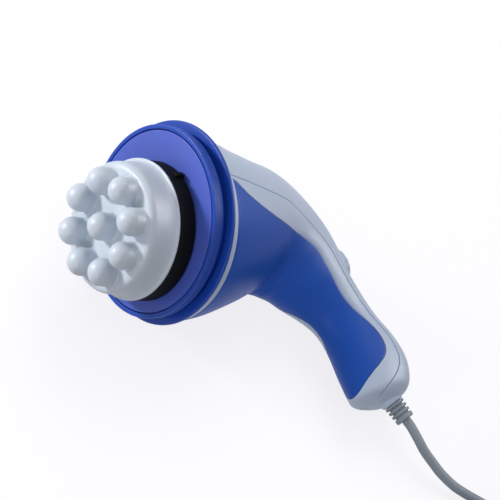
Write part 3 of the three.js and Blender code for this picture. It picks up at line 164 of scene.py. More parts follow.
# The coil winds in on its lower layer, climbs and winds out on its upper one
def coil_line():
    steps = 2 * COIL_LAYER_TURNS * COIL_TURN_STEPS
    turns = np.arange(steps + 1) / COIL_TURN_STEPS - COIL_LAYER_TURNS
    radius = COIL_INNER + COIL_PITCH * np.abs(turns)
    climb = ease(turns / COIL_CLIMB_TURNS + 0.5)
    angle = -np.pi / 2 - turns * 2 * np.pi
    line = np.stack([np.cos(angle) * radius, np.sin(angle) * radius, climb * COIL_PITCH], 1)
    return line + COIL_CENTRE


cord_points = np.vstack([
    smooth(CORD_ROUTE, np.linspace(0, 1, CORD_SAMPLES)),
    coil_line(),
    smooth(PLUG_ROUTE, np.linspace(0, 1, PLUG_SAMPLES)),
]) * MM
cord_curve = bpy.data.curves.new("cord", "CURVE")
cord_curve.dimensions = "3D"
cord_curve.bevel_depth = 1
cord_curve.bevel_resolution = 5
cord_curve.use_fill_caps = True
cord_line = cord_curve.splines.new("POLY")
cord_line.points.add(len(cord_points) - 1)
cord_line.points.foreach_set("co", np.hstack([cord_points, np.ones((len(cord_points), 1))]).ravel())
cord_line.points.foreach_set("radius", np.full(len(cord_points), CORD_RADIUS * MM))
cord_line.use_smooth = True
cord = bpy.data.objects.new("cord", cord_curve)
bpy.context.scene.collection.objects.link(cord)
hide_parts("mains_cord", "cord_coil", "plug_lead")
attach(cord, "housing")

# Materials: slight patches of tone, a fine grain in the gloss and a little relief
PATCH_SCALE = 25.0
PATCH_RANGE = (0.3, 0.7)
GRAIN_LOW = 0.35
GRAIN_HIGH = 0.65
GLOSS_SPREAD = 0.12
RELIEF_DEPTH = 0.0002


def linear(code):
    values = [int(code[i:i + 2], 16) / 255 for i in (1, 3, 5)]
    return [v / 12.92 if v <= 0.04045 else ((v + 0.055) / 1.055) ** 2.4 for v in values]


def noise(nodes, scale, detail):
    node = nodes.new("ShaderNodeTexNoise")
    node.inputs["Scale"].default_value = scale
    node.inputs["Detail"].default_value = detail
    return node


def surface(name, color, roughness, metallic=0.0, spread=0.05, grain=700.0, bump=0.04, brushed=None,
            specular=0.5):
    material = bpy.data.materials.new(name)
    material.use_nodes = True
    nodes, links = material.node_tree.nodes, material.node_tree.links
    shader = nodes["Principled BSDF"]
    shader.inputs["Metallic"].default_value = metallic
    shader.inputs["Specular IOR Level"].default_value = specular
    place = nodes.new("ShaderNodeTexCoord")
    patches = noise(nodes, PATCH_SCALE, 3)
    links.new(place.outputs["Object"], patches.inputs["Vector"])
    tone = nodes.new("ShaderNodeValToRGB")
    for element, position, level in zip(tone.color_ramp.elements, PATCH_RANGE, (1 - spread, 1 + spread)):
        element.position = position
        element.color = (*[min(1, c * level) for c in linear(color)], 1)
    links.new(patches.outputs["Fac"], tone.inputs["Fac"])
    links.new(tone.outputs["Color"], shader.inputs["Base Color"])
    fine = noise(nodes, grain, 2)
    if brushed is None:
        links.new(place.outputs["Object"], fine.inputs["Vector"])
    else:
        stretch = nodes.new("ShaderNodeMapping")
        stretch.inputs["Scale"].default_value = brushed
        links.new(place.outputs["Object"], stretch.inputs["Vector"])
        links.new(stretch.outputs["Vector"], fine.inputs["Vector"])
    rough = nodes.new("ShaderNodeMapRange")
    rough.inputs["From Min"].default_value = GRAIN_LOW
    rough.inputs["From Max"].default_value = GRAIN_HIGH
    rough.inputs["To Min"].default_value = roughness * (1 - GLOSS_SPREAD)
    rough.inputs["To Max"].default_value = min(1, roughness * (1 + GLOSS_SPREAD))
    links.new(fine.outputs["Fac"], rough.inputs["Value"])
    links.new(rough.outputs["Result"], shader.inputs["Roughness"])
    relief = nodes.new("ShaderNodeBump")
    relief.inputs["Strength"].default_value = bump
    relief.inputs["Distance"].default_value = RELIEF_DEPTH
    links.new(fine.outputs["Fac"], relief.inputs["Height"])
    links.new(relief.outputs["Normal"], shader.inputs["Normal"])
    return material


LOOKS = {
    "light_shell": dict(color="#c8d6ec", roughness=0.42, spread=0.02, specular=0.28),
    "blue_grip": dict(color="#2459be", roughness=0.42, spread=0.03, bump=0.05, grain=1100, specular=0.15),
    "blue_ring": dict(color="#1d48ac", roughness=0.34, spread=0.03, specular=0.2),
    "lilac_cover": dict(color="#4a5ebc", roughness=0.4, spread=0.03, bump=0.04, specular=0.2),
    "white_head": dict(color="#c3cdd8", roughness=0.42, spread=0.004, bump=0.004),
    "black_plastic": dict(color="#07090c", roughness=0.65, spread=0.15, bump=0.1, specular=0.1),
    "light_cord": dict(color="#959ea8", roughness=0.55, spread=0.04, bump=0.1, grain=900, specular=0.3),
    "steel": dict(color="#b9bcc0", roughness=0.32, metallic=1.0, brushed=(1, 1, 12), grain=260, bump=0.06),
    "zinc": dict(color="#8f9296", roughness=0.5, metallic=1.0, spread=0.08, bump=0.2, grain=420),
    "aluminium": dict(color="#c3c6ca", roughness=0.38, metallic=1.0, brushed=(12, 1, 1), grain=240),
    "brass": dict(color="#b08d4a", roughness=0.34, metallic=1.0, brushed=(1, 12, 1), grain=240),
    "copper": dict(color="#9a5a35", roughness=0.4, metallic=1.0, brushed=(1, 1, 30), grain=160, bump=0.3),
    "ferrite": dict(color="#2c2d30", roughness=0.75, spread=0.12, bump=0.25, grain=500),
    "laminate": dict(color="#2f6b3a", roughness=0.5, spread=0.06, bump=0.1, grain=350),
    "cream_plastic": dict(color="#d8cfb8", roughness=0.45, spread=0.03),
}
MATERIALS = {slot: surface(slot, **look) for slot, look in LOOKS.items()}
SLOT_OF = {part["node"]: part["material_slot"] for part in frame["record"]["subparts"]}
for node_name, node in NODES.items():
    node.data.materials.clear()
    node.data.materials.append(MATERIALS[SLOT_OF[node_name]])
cord.data.materials.append(MATERIALS["light_cord"])

# Meshes
SAME_POINT = 2e-6
SHORTEST_EDGE = 1e-6
SHARP_ANGLE = 32


def to_row(points):
    return np.array(CENTRE) + np.asarray(points, float) @ AXES * MM


def shade(obj):
    obj.data.polygons.foreach_set("use_smooth", [True] * len(obj.data.polygons))
    obj.data.set_sharp_from_angle(angle=math.radians(SHARP_ANGLE))


def mesh_object(name, points, faces):
    mesh = bpy.data.meshes.new(name)
    mesh.from_pydata([tuple(p) for p in to_row(points)], [], [tuple(f) for f in faces])
    cleaned = bmesh.new()
    cleaned.from_mesh(mesh)
    bmesh.ops.remove_doubles(cleaned, verts=cleaned.verts, dist=SAME_POINT)
    bmesh.ops.dissolve_degenerate(cleaned, edges=cleaned.edges, dist=SHORTEST_EDGE)
    bmesh.ops.recalc_face_normals(cleaned, faces=cleaned.faces)
    cleaned.to_mesh(mesh)
    cleaned.free()
    obj = bpy.data.objects.new(name, mesh)
    bpy.context.scene.collection.objects.link(obj)
    shade(obj)
    return obj


def dressed(obj, slot, body, *nodes):
    obj.data.materials.clear()
    obj.data.materials.append(MATERIALS[slot])
    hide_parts(*nodes)
    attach(obj, body)


# Joins other solids to an object, or cuts them out of it
def combined(obj, others, operation):
    for other in others:
        change = obj.modifiers.new("change", "BOOLEAN")
        change.operation = operation
        change.solver = "EXACT"
        change.object = other
    result = bpy.data.meshes.new_from_object(obj.evaluated_get(bpy.context.evaluated_depsgraph_get()))
    obj.modifiers.clear()
    obj.data = result
    for other in others:
        bpy.data.objects.remove(other)
    shade(obj)


# Adds other meshes to an object's own, as they stand
def merged(obj, others):
    whole = bmesh.new()
    whole.from_mesh(obj.data)
    for other in others:
        whole.from_mesh(other.data)
        bpy.data.objects.remove(other)
    whole.to_mesh(obj.data)
    whole.free()
    shade(obj)


MOST_ROUNDING_SHARE = 0.48


# Rounds the corners of an outline of (x, radius, rounding) points
def rounded(outline, closed=True, steps=5):
    points = []
    count = len(outline)
    for i, (x, r, size) in enumerate(outline):
        here = np.array([x, r], float)
        if size == 0 or (not closed and i in (0, count - 1)):
            points.append(here)
            continue
        before = np.array(outline[i - 1][:2], float) - here
        after = np.array(outline[(i + 1) % count][:2], float) - here
        first = here + before * min(MOST_ROUNDING_SHARE, size / np.linalg.norm(before))
        last = here + after * min(MOST_ROUNDING_SHARE, size / np.linalg.norm(after))
        for k in range(steps + 1):
            w = k / steps
            points.append((1 - w) ** 2 * first + 2 * w * (1 - w) * here + w**2 * last)
    return points


# Turns an outline about a line along x; outlines that end on the axis are closed there
def lathe(name, outline, sides=96, centre=(0, 0), closed=True, place=None):
    points, rows = [], []
    for x, r in outline:
        if r < SHORTEST_EDGE:
            rows.append([len(points)] * sides)
            points.append((x, centre[0], centre[1]))
            continue
        rows.append(range(len(points), len(points) + sides))
        for k in range(sides):
            a = 2 * math.pi * k / sides
            points.append((x, centre[0] + r * math.cos(a), centre[1] + r * math.sin(a)))
    faces = []
    for i in range(len(rows) - (0 if closed else 1)):
        a, b = rows[i], rows[(i + 1) % len(rows)]
        for k in range(sides):
            corners = [a[k], a[(k + 1) % sides], b[(k + 1) % sides], b[k]]
            corners = [c for j, c in enumerate(corners) if c not in corners[:j]]
            if len(corners) > 2:
                faces.append(corners)
    return mesh_object(name, np.array(points) if place is None else place(np.array(points)), faces)


# Places points in the side view: x along a direction, y square to it, z to the side
def placed(points, start, along):
    points = np.asarray(points, float)
    square = np.array([-along[1], along[0], 0])
    return start + points[:, :1] * along + points[:, 1:2] * square + points[:, 2:] * (0, 0, 1)


# Housing: sections along its curved middle line, each with its depth and drop, its tilt in
# degrees, and how far it reaches back, to the front and to the sides
HOUSING_RADIUS = 53
HOUSING_DEPTH = 127
HANDLE_DROP = 101
SHELL_WALL = 3.2
SECTION_SHARES = [
    (0.008, 0, 0, 0.965, 1.01, 1),
    (0.134, 0.003, 0, 0.8, 0.945, 0.925),
    (0.265, 0.015, 0, 0.755, 0.8, 0.84),
    (0.378, 0.032, 0, 0.76, 0.65, 0.755),
    (0.457, 0.052, 5, 0.785, 0.515, 0.69),
    (0.524, 0.08, 16.5, 0.735, 0.495, 0.615),
    (0.596, 0.12, 32, 0.6, 0.52, 0.54),
    (0.65, 0.176, 47.7, 0.48, 0.53, 0.5),
    (0.702, 0.247, 62.1, 0.355, 0.53, 0.453),
    (0.741, 0.35, 75.1, 0.272, 0.5, 0.409),
    (0.772, 0.411, 79.7, 0.262, 0.455, 0.37),
    (0.805, 0.473, 80.1, 0.25, 0.405, 0.336),
    (0.835, 0.538, 79.2, 0.24, 0.37, 0.317),
    (0.861, 0.611, 76.4, 0.23, 0.38, 0.321),
    (0.891, 0.684, 75.1, 0.225, 0.43, 0.338),
    (0.915, 0.763, 74.6, 0.24, 0.49, 0.347),
    (0.93, 0.86, 76, 0.26, 0.51, 0.345),
    (0.928, 0.95, 79, 0.245, 0.495, 0.315),
    (0.922, 1.015, 82, 0.19, 0.45, 0.25),
    (0.912, 1.045, 84, 0.04, 0.07, 0.06),
]
SECTION_BLEND_SHARE = 0.024

# Joint line of the shells: the middle line, moved forward at the head, and its own line at the tail
TAIL_PARTING_SHARES = [
    (0.924, 0.85), (0.912, 0.905), (0.885, 0.955), (0.84, 1.01), (0.79, 1.08), (0.73, 1.18),
]
TAIL_PARTING_FROM_SHARE = 0.8
HEAD_PARTING = 2.2
HEAD_PARTING_TO_SHARE = 0.2
HEAD_PARTING_RUN_SHARE = 0.12
PARTING_CORNERS = [(20, 250), (20, 0)]

# Edge of the grip on each side, and corners that close the region in front of it
GRIP_NEAR_SHARES = [
    (0.029, 0.045), (0.06, 0.06), (0.12, 0.105), (0.2, 0.14), (0.285, 0.165), (0.37, 0.18),
    (0.46, 0.19), (0.55, 0.21), (0.62, 0.26), (0.66, 0.335), (0.7, 0.42), (0.74, 0.495),
    (0.78, 0.56), (0.825, 0.635), (0.855, 0.71), (0.866, 0.775), (0.858, 0.83), (0.83, 0.876),
    (0.79, 0.92), (0.762, 0.955), (0.74, 0.99), (0.722, 1.025),
]
GRIP_FAR_SHARES = [
    (0.029, 0.045), (0.056, 0.056), (0.139, 0.127), (0.257, 0.158), (0.354, 0.172), (0.44, 0.205),
    (0.51, 0.27), (0.57, 0.35), (0.615, 0.435), (0.655, 0.505), (0.695, 0.57), (0.72, 0.64),
    (0.745, 0.685), (0.79, 0.715), (0.845, 0.755), (0.862, 0.8), (0.854, 0.84), (0.83, 0.876),
    (0.79, 0.92), (0.762, 0.955), (0.74, 0.99), (0.722, 1.025),
]
GRIP_OUTSIDE_SHARES = [(0.5, 1.25), (0.029, 0.8)]

# Light band behind the flange, wider in front
BAND_FROM = 1.0
BAND_FULL = 3.7
BAND_TO = 26
BAND_SPREAD = 1.7


def in_plane(shares):
    return np.array([(-d * HOUSING_DEPTH, h * HANDLE_DROP) for d, h in shares])


def sections(shares):
    shares = np.asarray(shares, float)
    reach = np.minimum(SECTION_BLEND_SHARE, np.minimum(shares, 1 - shares))
    beside = smooth(SECTION_SHARES, shares - reach) + smooth(SECTION_SHARES, shares + reach)
    rows = smooth(SECTION_SHARES, shares) / 2 + beside / 4
    tilt = np.radians(rows[:, 2])
    return {
        "middle": rows[:, :2] * (-HOUSING_DEPTH, HANDLE_DROP),
        "out": np.stack([-np.sin(tilt), -np.cos(tilt)], 1),
        "back": rows[:, 3] * HOUSING_RADIUS,
        "front": rows[:, 4] * HOUSING_RADIUS,
        "half": rows[:, 5] * HOUSING_RADIUS,
    }


def mean_radius(form):
    return (form["half"] + form["front"]) / 2


# How far the skin's points near the head lie further back in front, where the light band widens
def band_shift(form):
    behind = -form["middle"][:, 0]
    rise = ease((behind - BAND_FROM) / (BAND_FULL - BAND_FROM))
    fall = ease((BAND_TO - behind) / (BAND_TO - BAND_FULL))
    return BAND_SPREAD * rise * fall


# Points of the housing's skin: one row for each section, one column for each angle from the back
def skin(form, angles, inset):
    cosine, sine = np.cos(angles), np.sin(angles)
    depth = np.where(cosine > 0, form["back"][:, None], form["front"][:, None]) - inset
    flat = form["middle"][:, None, :] + form["out"][:, None, :] * (cosine * depth)[..., None]
    flat[..., 0] -= band_shift(form)[:, None] * np.clip(-cosine, 0, 1)
    return np.concatenate([flat, ((form["half"][:, None] - inset) * sine)[..., None]], 2)


# How far in front of the middle line each section crosses into a region of the side view
def crossing(form, region):
    start, end = region, np.roll(region, -1, 0)
    found = []
    for middle, out, front in zip(form["middle"], form["out"], form["front"]):
        ahead = -out
        square = np.array([-ahead[1], ahead[0]])
        s, e = (start - middle) @ square, (end - middle) @ square
        hit = (s > 0) != (e > 0)
        w = s[hit] / (s[hit] - e[hit])
        along = ((start[hit] * (1 - w)[:, None] + end[hit] * w[:, None]) - middle) @ ahead
        ends_inside = np.sum(along > front) % 2 == 1
        reached = along[along <= front]
        found.append(reached.max(initial=0.0) if ends_inside else front)
    return np.array(found)


# The angle from the back at which the skin lies that far in front of the middle line
def as_angle(distance, form):
    return np.arccos(-np.clip(distance / form["front"], 0, 1))


# A wall between an outer skin and an inner one, closed along its edges
def strip(name, form, columns, insets, inner_form, inner_inset):
    outer = skin(form, columns, insets)
    inner = skin(inner_form, columns, inner_inset)
    rows, count = columns.shape

    def at(row, side, k):
        return (2 * row + side) * count + k

    faces = []
    for row in range(rows - 1):
        for k in range(count - 1):
            faces.append((at(row, 0, k), at(row, 0, k + 1), at(row + 1, 0, k + 1), at(row + 1, 0, k)))
            faces.append((at(row, 1, k), at(row + 1, 1, k), at(row + 1, 1, k + 1), at(row, 1, k + 1)))
        for k in (0, count - 1):
            faces.append((at(row, 0, k), at(row + 1, 0, k), at(row + 1, 1, k), at(row, 1, k)))
    for row in (0, rows - 1):
        for k in range(count - 1):
            faces.append((at(row, 0, k), at(row, 0, k + 1), at(row, 1, k + 1), at(row, 1, k)))
    return mesh_object(name, np.concatenate([outer, inner], 1).reshape(-1, 3), faces)


# Edges: a bare joint line, and rounded edges with their columns close together
GAP = 0.22
EDGE = 0.35
EDGE_STEPS = np.array([0, 0.03, 0.1, 0.2, EDGE])
EDGE_ROOM_SHARE = 0.4
SEAM_WALL = 2.0
PARTING_POINTS = 161
HALF_TURN = math.pi


def round_off(distance, size):
    short = np.clip(size - distance, 0, size)
    return size - np.sqrt(np.maximum(size**2 - short**2, 0))


# Angles across a strip that closes in on its edges in small steps
def across(low, high, radius, count):
    room = np.maximum(high - low, 0)[:, None] * np.linspace(0, EDGE_ROOM_SHARE, len(EDGE_STEPS))
    steps = np.minimum(EDGE_STEPS / radius[:, None], room)
    first = low[:, None] + steps
    last = high[:, None] - steps[:, ::-1]
    inner = first[:, -1:] + (last[:, :1] - first[:, -1:]) * np.linspace(0, 1, count)[1:-1]
    return np.concatenate([first, inner, last], 1)


# Adds columns that run down the wall of an edge
def with_walls(columns, insets, depth):
    columns = np.concatenate([columns[:, :1], columns, columns[:, -1:]], 1)
    side = np.full((len(insets), 1), float(depth))
    return columns, np.concatenate([side, insets, side], 1)


# How far the columns of a strip lie from the nearer of its two edges
def to_nearer_edge(columns, radius):
    return np.minimum(columns - columns[:, :1], columns[:, -1:] - columns) * radius[:, None]


parting_region = np.vstack([
    sections(np.linspace(0, TAIL_PARTING_FROM_SHARE, PARTING_POINTS))["middle"],
    in_plane(TAIL_PARTING_SHARES),
    PARTING_CORNERS,
])


# How far in front of the middle line the two shells part
def parting_of(shares, form):
    at_head = HEAD_PARTING * ease((HEAD_PARTING_TO_SHARE - shares) / HEAD_PARTING_RUN_SHARE)
    return np.where(shares < TAIL_PARTING_FROM_SHARE, at_head, crossing(form, parting_region))


# Rows of the housing's pieces, closer together at the tail
TAIL_SHARE = 0.9
HANDLE_ROWS = 190
TAIL_ROWS = 46
housing_shares = np.unique(np.concatenate([
    np.linspace(0, TAIL_SHARE, HANDLE_ROWS),
    np.linspace(TAIL_SHARE, 1, TAIL_ROWS),
]))

# Back shell: a strip from seam to seam
BACK_COLUMNS = 130
INNER_SHARE = 0.9


def back_skin():
    form = sections(housing_shares)
    radius = mean_radius(form)
    edge = as_angle(parting_of(housing_shares, form), form) - GAP / radius
    columns = across(-edge, edge, radius, BACK_COLUMNS)
    columns, insets = with_walls(columns, round_off(to_nearer_edge(columns, radius), EDGE), SEAM_WALL)
    inner_form = sections(housing_shares * INNER_SHARE)
    return strip("back_shell_skin", form, columns, insets, inner_form, SHELL_WALL)


back = back_skin()

# Boss for the strain relief at the tail
EXIT_SHARES = (0.943, 1.045)
EXIT_TURN = math.radians(116.7)
BOSS_RADIUS = 8.5
BOSS_END_RADIUS = 5.9
BOSS_ROOT = -12
RELIEF_BORE_RADIUS = 4.4
RELIEF_BORE_DEPTH = 14
RELIEF_BORE_TOP = 4


def at_exit(points):
    start = np.array([*in_plane([EXIT_SHARES])[0], 0])
    return placed(points, start, np.array([math.cos(EXIT_TURN), math.sin(EXIT_TURN), 0]))


boss = lathe("boss", rounded([
    (BOSS_ROOT, 0, 0), (BOSS_ROOT, BOSS_RADIUS, 0), (-7, BOSS_RADIUS, 3), (-1.1, 6.5, 1),
    (0, BOSS_END_RADIUS, 0.5), (0, 0, 0),
], closed=False), place=at_exit, closed=False)
combined(back, [boss], "UNION")

# Holes for the two handle screws: shares along the housing, and the seat's height over the joint line
SCREW_SHARES = (0.6, 0.74)
SCREW_SEAT = 4.5
SEAT_WALL = 2
HEAD_BORE_RADIUS = 3.2
SHANK_BORE_RADIUS = 1.8
TUBE_RADIUS = 5.0
TUBE_SUNK = 1.2
DEEPEST_CUT = 9
PAST_SKIN = 25
HOLE_SIDES = 48


# Places points in a screw hole: x out through the back, y toward the tail
def at_hole(points, row):
    turned = np.asarray(points, float) * (1, -1, 1)
    return placed(turned, np.array([*row["middle"][0], 0]), np.array([*row["out"][0], 0]))


def screw_cutter(name, row):
    floor_level = max(SCREW_SEAT, row["back"][0] - DEEPEST_CUT)
    top = row["back"][0] + PAST_SKIN
    outline = [(floor_level, 0), (floor_level, HEAD_BORE_RADIUS), (top, HEAD_BORE_RADIUS), (top, 0)]
    return lathe(name, outline, HOLE_SIDES, place=lambda points: at_hole(points, row), closed=False)


# A tube that leads from the skin down to the screw's seat, cut to the slope of the skin
def screw_tube(name, row):
    seat_back = SCREW_SEAT - SEAT_WALL
    rings = [
        (None, TUBE_RADIUS), (None, HEAD_BORE_RADIUS), (SCREW_SEAT, HEAD_BORE_RADIUS),
        (SCREW_SEAT, SHANK_BORE_RADIUS), (seat_back, SHANK_BORE_RADIUS), (seat_back, TUBE_RADIUS),
    ]
    points, faces = [], []
    for level, radius in rings:
        for k in range(HOLE_SIDES):
            a = 2 * math.pi * k / HOLE_SIDES
            beside = radius * math.sin(a)
            under_skin = row["back"][0] * math.sqrt(max(0, 1 - (beside / row["half"][0]) ** 2)) - TUBE_SUNK
            points.append((under_skin if level is None else level, radius * math.cos(a), beside))
    for i in range(len(rings)):
        low, high = i * HOLE_SIDES, (i + 1) % len(rings) * HOLE_SIDES
        for k in range(HOLE_SIDES):
            j = (k + 1) % HOLE_SIDES
            faces.append((low + k, low + j, high + j, high + k))
    return mesh_object(name, at_hole(points, row), faces)


# Air slots with round ends, cut down through the crown
VENT_SHARE = 0.28
VENTS = 5
VENT_PITCH = 4.6
VENT_HALF_WIDTH = 1
VENT_HALF_LENGTH = 9
VENT_TOP = -60
VENT_FLOOR = -29
VENT_END_STEPS = 12


def vent_cutter(name, x):
    points = []
    for level in (VENT_TOP, VENT_FLOOR):
        for end, turn in ((1, 0), (-1, -math.pi)):
            for k in range(VENT_END_STEPS + 1):
                a = math.pi * k / VENT_END_STEPS + turn
                z = end * VENT_HALF_LENGTH + VENT_HALF_WIDTH * math.sin(a)
                points.append((x + VENT_HALF_WIDTH * math.cos(a), level, z))
    count = len(points) // 2
    faces = [tuple(range(count)), tuple(range(2 * count - 1, count - 1, -1))]
    for k in range(count):
        j = (k + 1) % count
        faces.append((k, j, count + j, count + k))
    return mesh_object(name, points, faces)


# Well that the dial sits in
WELL_RADIUS = 12.4
WELL_DEPTH = 3.2
WELL_TOP = 30


def at_dial(points):
    return placed(points, DIAL_CENTRE, np.array([DIAL_OUT.dot(FORWARD), DIAL_OUT.dot(DOWN), 0]))


well = [(-WELL_DEPTH, 0), (-WELL_DEPTH, WELL_RADIUS), (WELL_TOP, WELL_RADIUS), (WELL_TOP, 0)]
bore = [
    (-RELIEF_BORE_DEPTH, 0), (-RELIEF_BORE_DEPTH, RELIEF_BORE_RADIUS),
    (RELIEF_BORE_TOP, RELIEF_BORE_RADIUS), (RELIEF_BORE_TOP, 0),
]
screw_rows = [sections([share]) for share in SCREW_SHARES]
vent_x = sections([VENT_SHARE])["middle"][0][0]
cutters = [
    lathe("well", well, place=at_dial, closed=False),
    lathe("bore", bore, HOLE_SIDES, place=at_exit, closed=False),
]
cutters += [screw_cutter(f"hole_{i}", row) for i, row in enumerate(screw_rows)]
cutters += [vent_cutter(f"vent_{i}", vent_x + (i - (VENTS - 1) / 2) * VENT_PITCH) for i in range(VENTS)]
combined(back, cutters, "DIFFERENCE")
merged(back, [screw_tube(f"tube_{i}", row) for i, row in enumerate(screw_rows)])
dressed(back, "light_shell", "housing", "back_shell")

# Edge of the grip: where it begins at the head, and its angles on the two sides of the housing
GRIP_EDGE_POINTS = 300
FINE_STEPS = 4001
JUST_PAST_SHARE = 1e-4
OPEN_GAPS = 3
fine_shares = np.linspace(0, 1, FINE_STEPS)
fine_depths = smooth(SECTION_SHARES, fine_shares)[:, 0]
grip_start = float(np.interp(GRIP_NEAR_SHARES[0][0], fine_depths, fine_shares))


def grip_region(edge_shares):
    edge = smooth(in_plane(edge_shares), np.linspace(0, 1, GRIP_EDGE_POINTS))
    return np.vstack([edge, in_plane(GRIP_OUTSIDE_SHARES)])


near_region, far_region = grip_region(GRIP_NEAR_SHARES), grip_region(GRIP_FAR_SHARES)


def grip_angles(shares):
    held = sections(np.maximum(shares, grip_start + JUST_PAST_SHARE))
    return as_angle(crossing(held, near_region), held), as_angle(crossing(held, far_region), held)


# Front shell: a strip on each side of the grip, and the floor that the grip lies on
RECESS = 1.5
RECESS_MOST_SHARE = 0.8
FRONT_COLUMNS = 60
VALLEY_DEPTH = 1.3
VALLEY_WIDTH = 4.2
VALLEY_MOST_SHARE = 0.6
VALLEY_LEAST = 0.1
VALLEY_FROM_SHARE = 0.22
VALLEY_RISE_SHARE = 0.12
VALLEY_TO_SHARE = 0.72
VALLEY_FALL_SHARE = 0.1


# How deep the near side slopes down to the grip along the housing
def near_valley(shares):
    rise = np.clip((shares - VALLEY_FROM_SHARE) / VALLEY_RISE_SHARE, 0, 1)
    fall = np.clip((VALLEY_TO_SHARE - shares) / VALLEY_FALL_SHARE, 0, 1)
    return VALLEY_DEPTH * rise * fall


# One side of the front shell, from the seam to the grip, or to the front where the grip is closed:
# where it ends, its columns and their insets, with round edges and a slope down to the grip
def side_strip(form, seam, edge, lined, valley):
    radius = mean_radius(form)
    gap = GAP / radius
    end = np.maximum(np.where(edge < HALF_TURN - OPEN_GAPS * gap, edge - gap, HALF_TURN), seam)
    columns = across(seam, end, radius, FRONT_COLUMNS)
    from_seam = (columns - columns[:, :1]) * radius[:, None]
    to_grip = (columns[:, -1:] - columns) * radius[:, None]
    insets = round_off(from_seam, EDGE)
    insets += np.where((lined & (end < HALF_TURN))[:, None], round_off(to_grip, EDGE), 0)
    reach = np.minimum(VALLEY_WIDTH, VALLEY_MOST_SHARE * from_seam[:, -1:])
    slope = np.clip(1 - to_grip / np.maximum(reach, VALLEY_LEAST), 0, 1)
    return end, columns, insets + valley[:, None] * slope**2


def front_skin():
    shares = np.sort(np.concatenate([housing_shares, [grip_start, grip_start]]))
    lined = np.arange(len(shares)) > np.searchsorted(shares, grip_start)
    form = sections(shares)
    radius = mean_radius(form)
    seam = as_angle(parting_of(shares, form), form) + GAP / radius
    near_edge, far_edge = grip_angles(shares)
    near_end, near, near_insets = side_strip(form, seam, near_edge, lined, near_valley(shares))
    far_end, far, far_insets = side_strip(form, seam, far_edge, lined, np.zeros(len(shares)))
    bare = 2 * HALF_TURN - far_end - near_end
    under = near_end[:, None] + bare[:, None] * np.linspace(0, 1, FRONT_COLUMNS)
    recess = np.where(lined, np.minimum(RECESS, RECESS_MOST_SHARE * (bare * radius)), 0)
    under_insets = np.repeat(recess[:, None], FRONT_COLUMNS, 1)
    columns = np.concatenate([near, under, 2 * HALF_TURN - far[:, ::-1]], 1)
    insets = np.concatenate([near_insets, under_insets, far_insets[:, ::-1]], 1)
    columns, insets = with_walls(columns, insets, SEAM_WALL)
    inner_form = sections(shares * INNER_SHARE)
    return strip("front_shell_skin", form, columns, insets, inner_form, SHELL_WALL)


dressed(front_skin(), "light_shell", "housing", "front_shell")

# Grip panel, with rounded edges and a bare joint line round it
GRIP_THICKNESS = 1.2
GRIP_COLUMNS = 150
GRIP_TIP_ROWS = 30
GRIP_TIP_SHARE = 0.03
NEXT_ROW_SHARE = 0.004
INSIDE_SHARE = 0.99


# The last share at which the grip's two edges lie apart
def grip_end():
    near_edge, far_edge = grip_angles(fine_shares)
    width = (2 * HALF_TURN - near_edge - far_edge) * mean_radius(sections(fine_shares))
    return fine_shares[(fine_shares > grip_start) & (width > OPEN_GAPS * GAP)][-1]


# Rows of the grip: small steps at its upper edge and at its tip
def grip_rows(end):
    first_step = SECTION_SHARES[1][0] - SECTION_SHARES[0][0]
    share_per_mm = 1 / (HOUSING_DEPTH * (len(SECTION_SHARES) - 1) * first_step)
    top = grip_start + (GAP + EDGE_STEPS) * share_per_mm
    tip = np.linspace(end - GRIP_TIP_SHARE, end, GRIP_TIP_ROWS)
    between = (housing_shares > top[-1] + NEXT_ROW_SHARE) & (housing_shares < tip[0])
    return np.concatenate([top, housing_shares[between], tip])


def grip_skin():
    shares = grip_rows(grip_end())
    form = sections(shares)
    radius = mean_radius(form)
    gap = GAP / radius
    near_edge, far_edge = grip_angles(shares)
    columns = across(near_edge + gap, 2 * HALF_TURN - far_edge - gap, radius, GRIP_COLUMNS)
    from_top = np.full(len(shares), np.inf)
    from_top[:len(EDGE_STEPS)] = EDGE_STEPS
    insets = np.maximum(round_off(to_nearer_edge(columns, radius), EDGE), round_off(from_top, EDGE)[:, None])
    columns, insets = with_walls(columns, insets, GRIP_THICKNESS * INSIDE_SHARE)
    return strip("grip_skin", form, columns, insets, form, GRIP_THICKNESS)


dressed(grip_skin(), "blue_grip", "housing", "grip_panel")

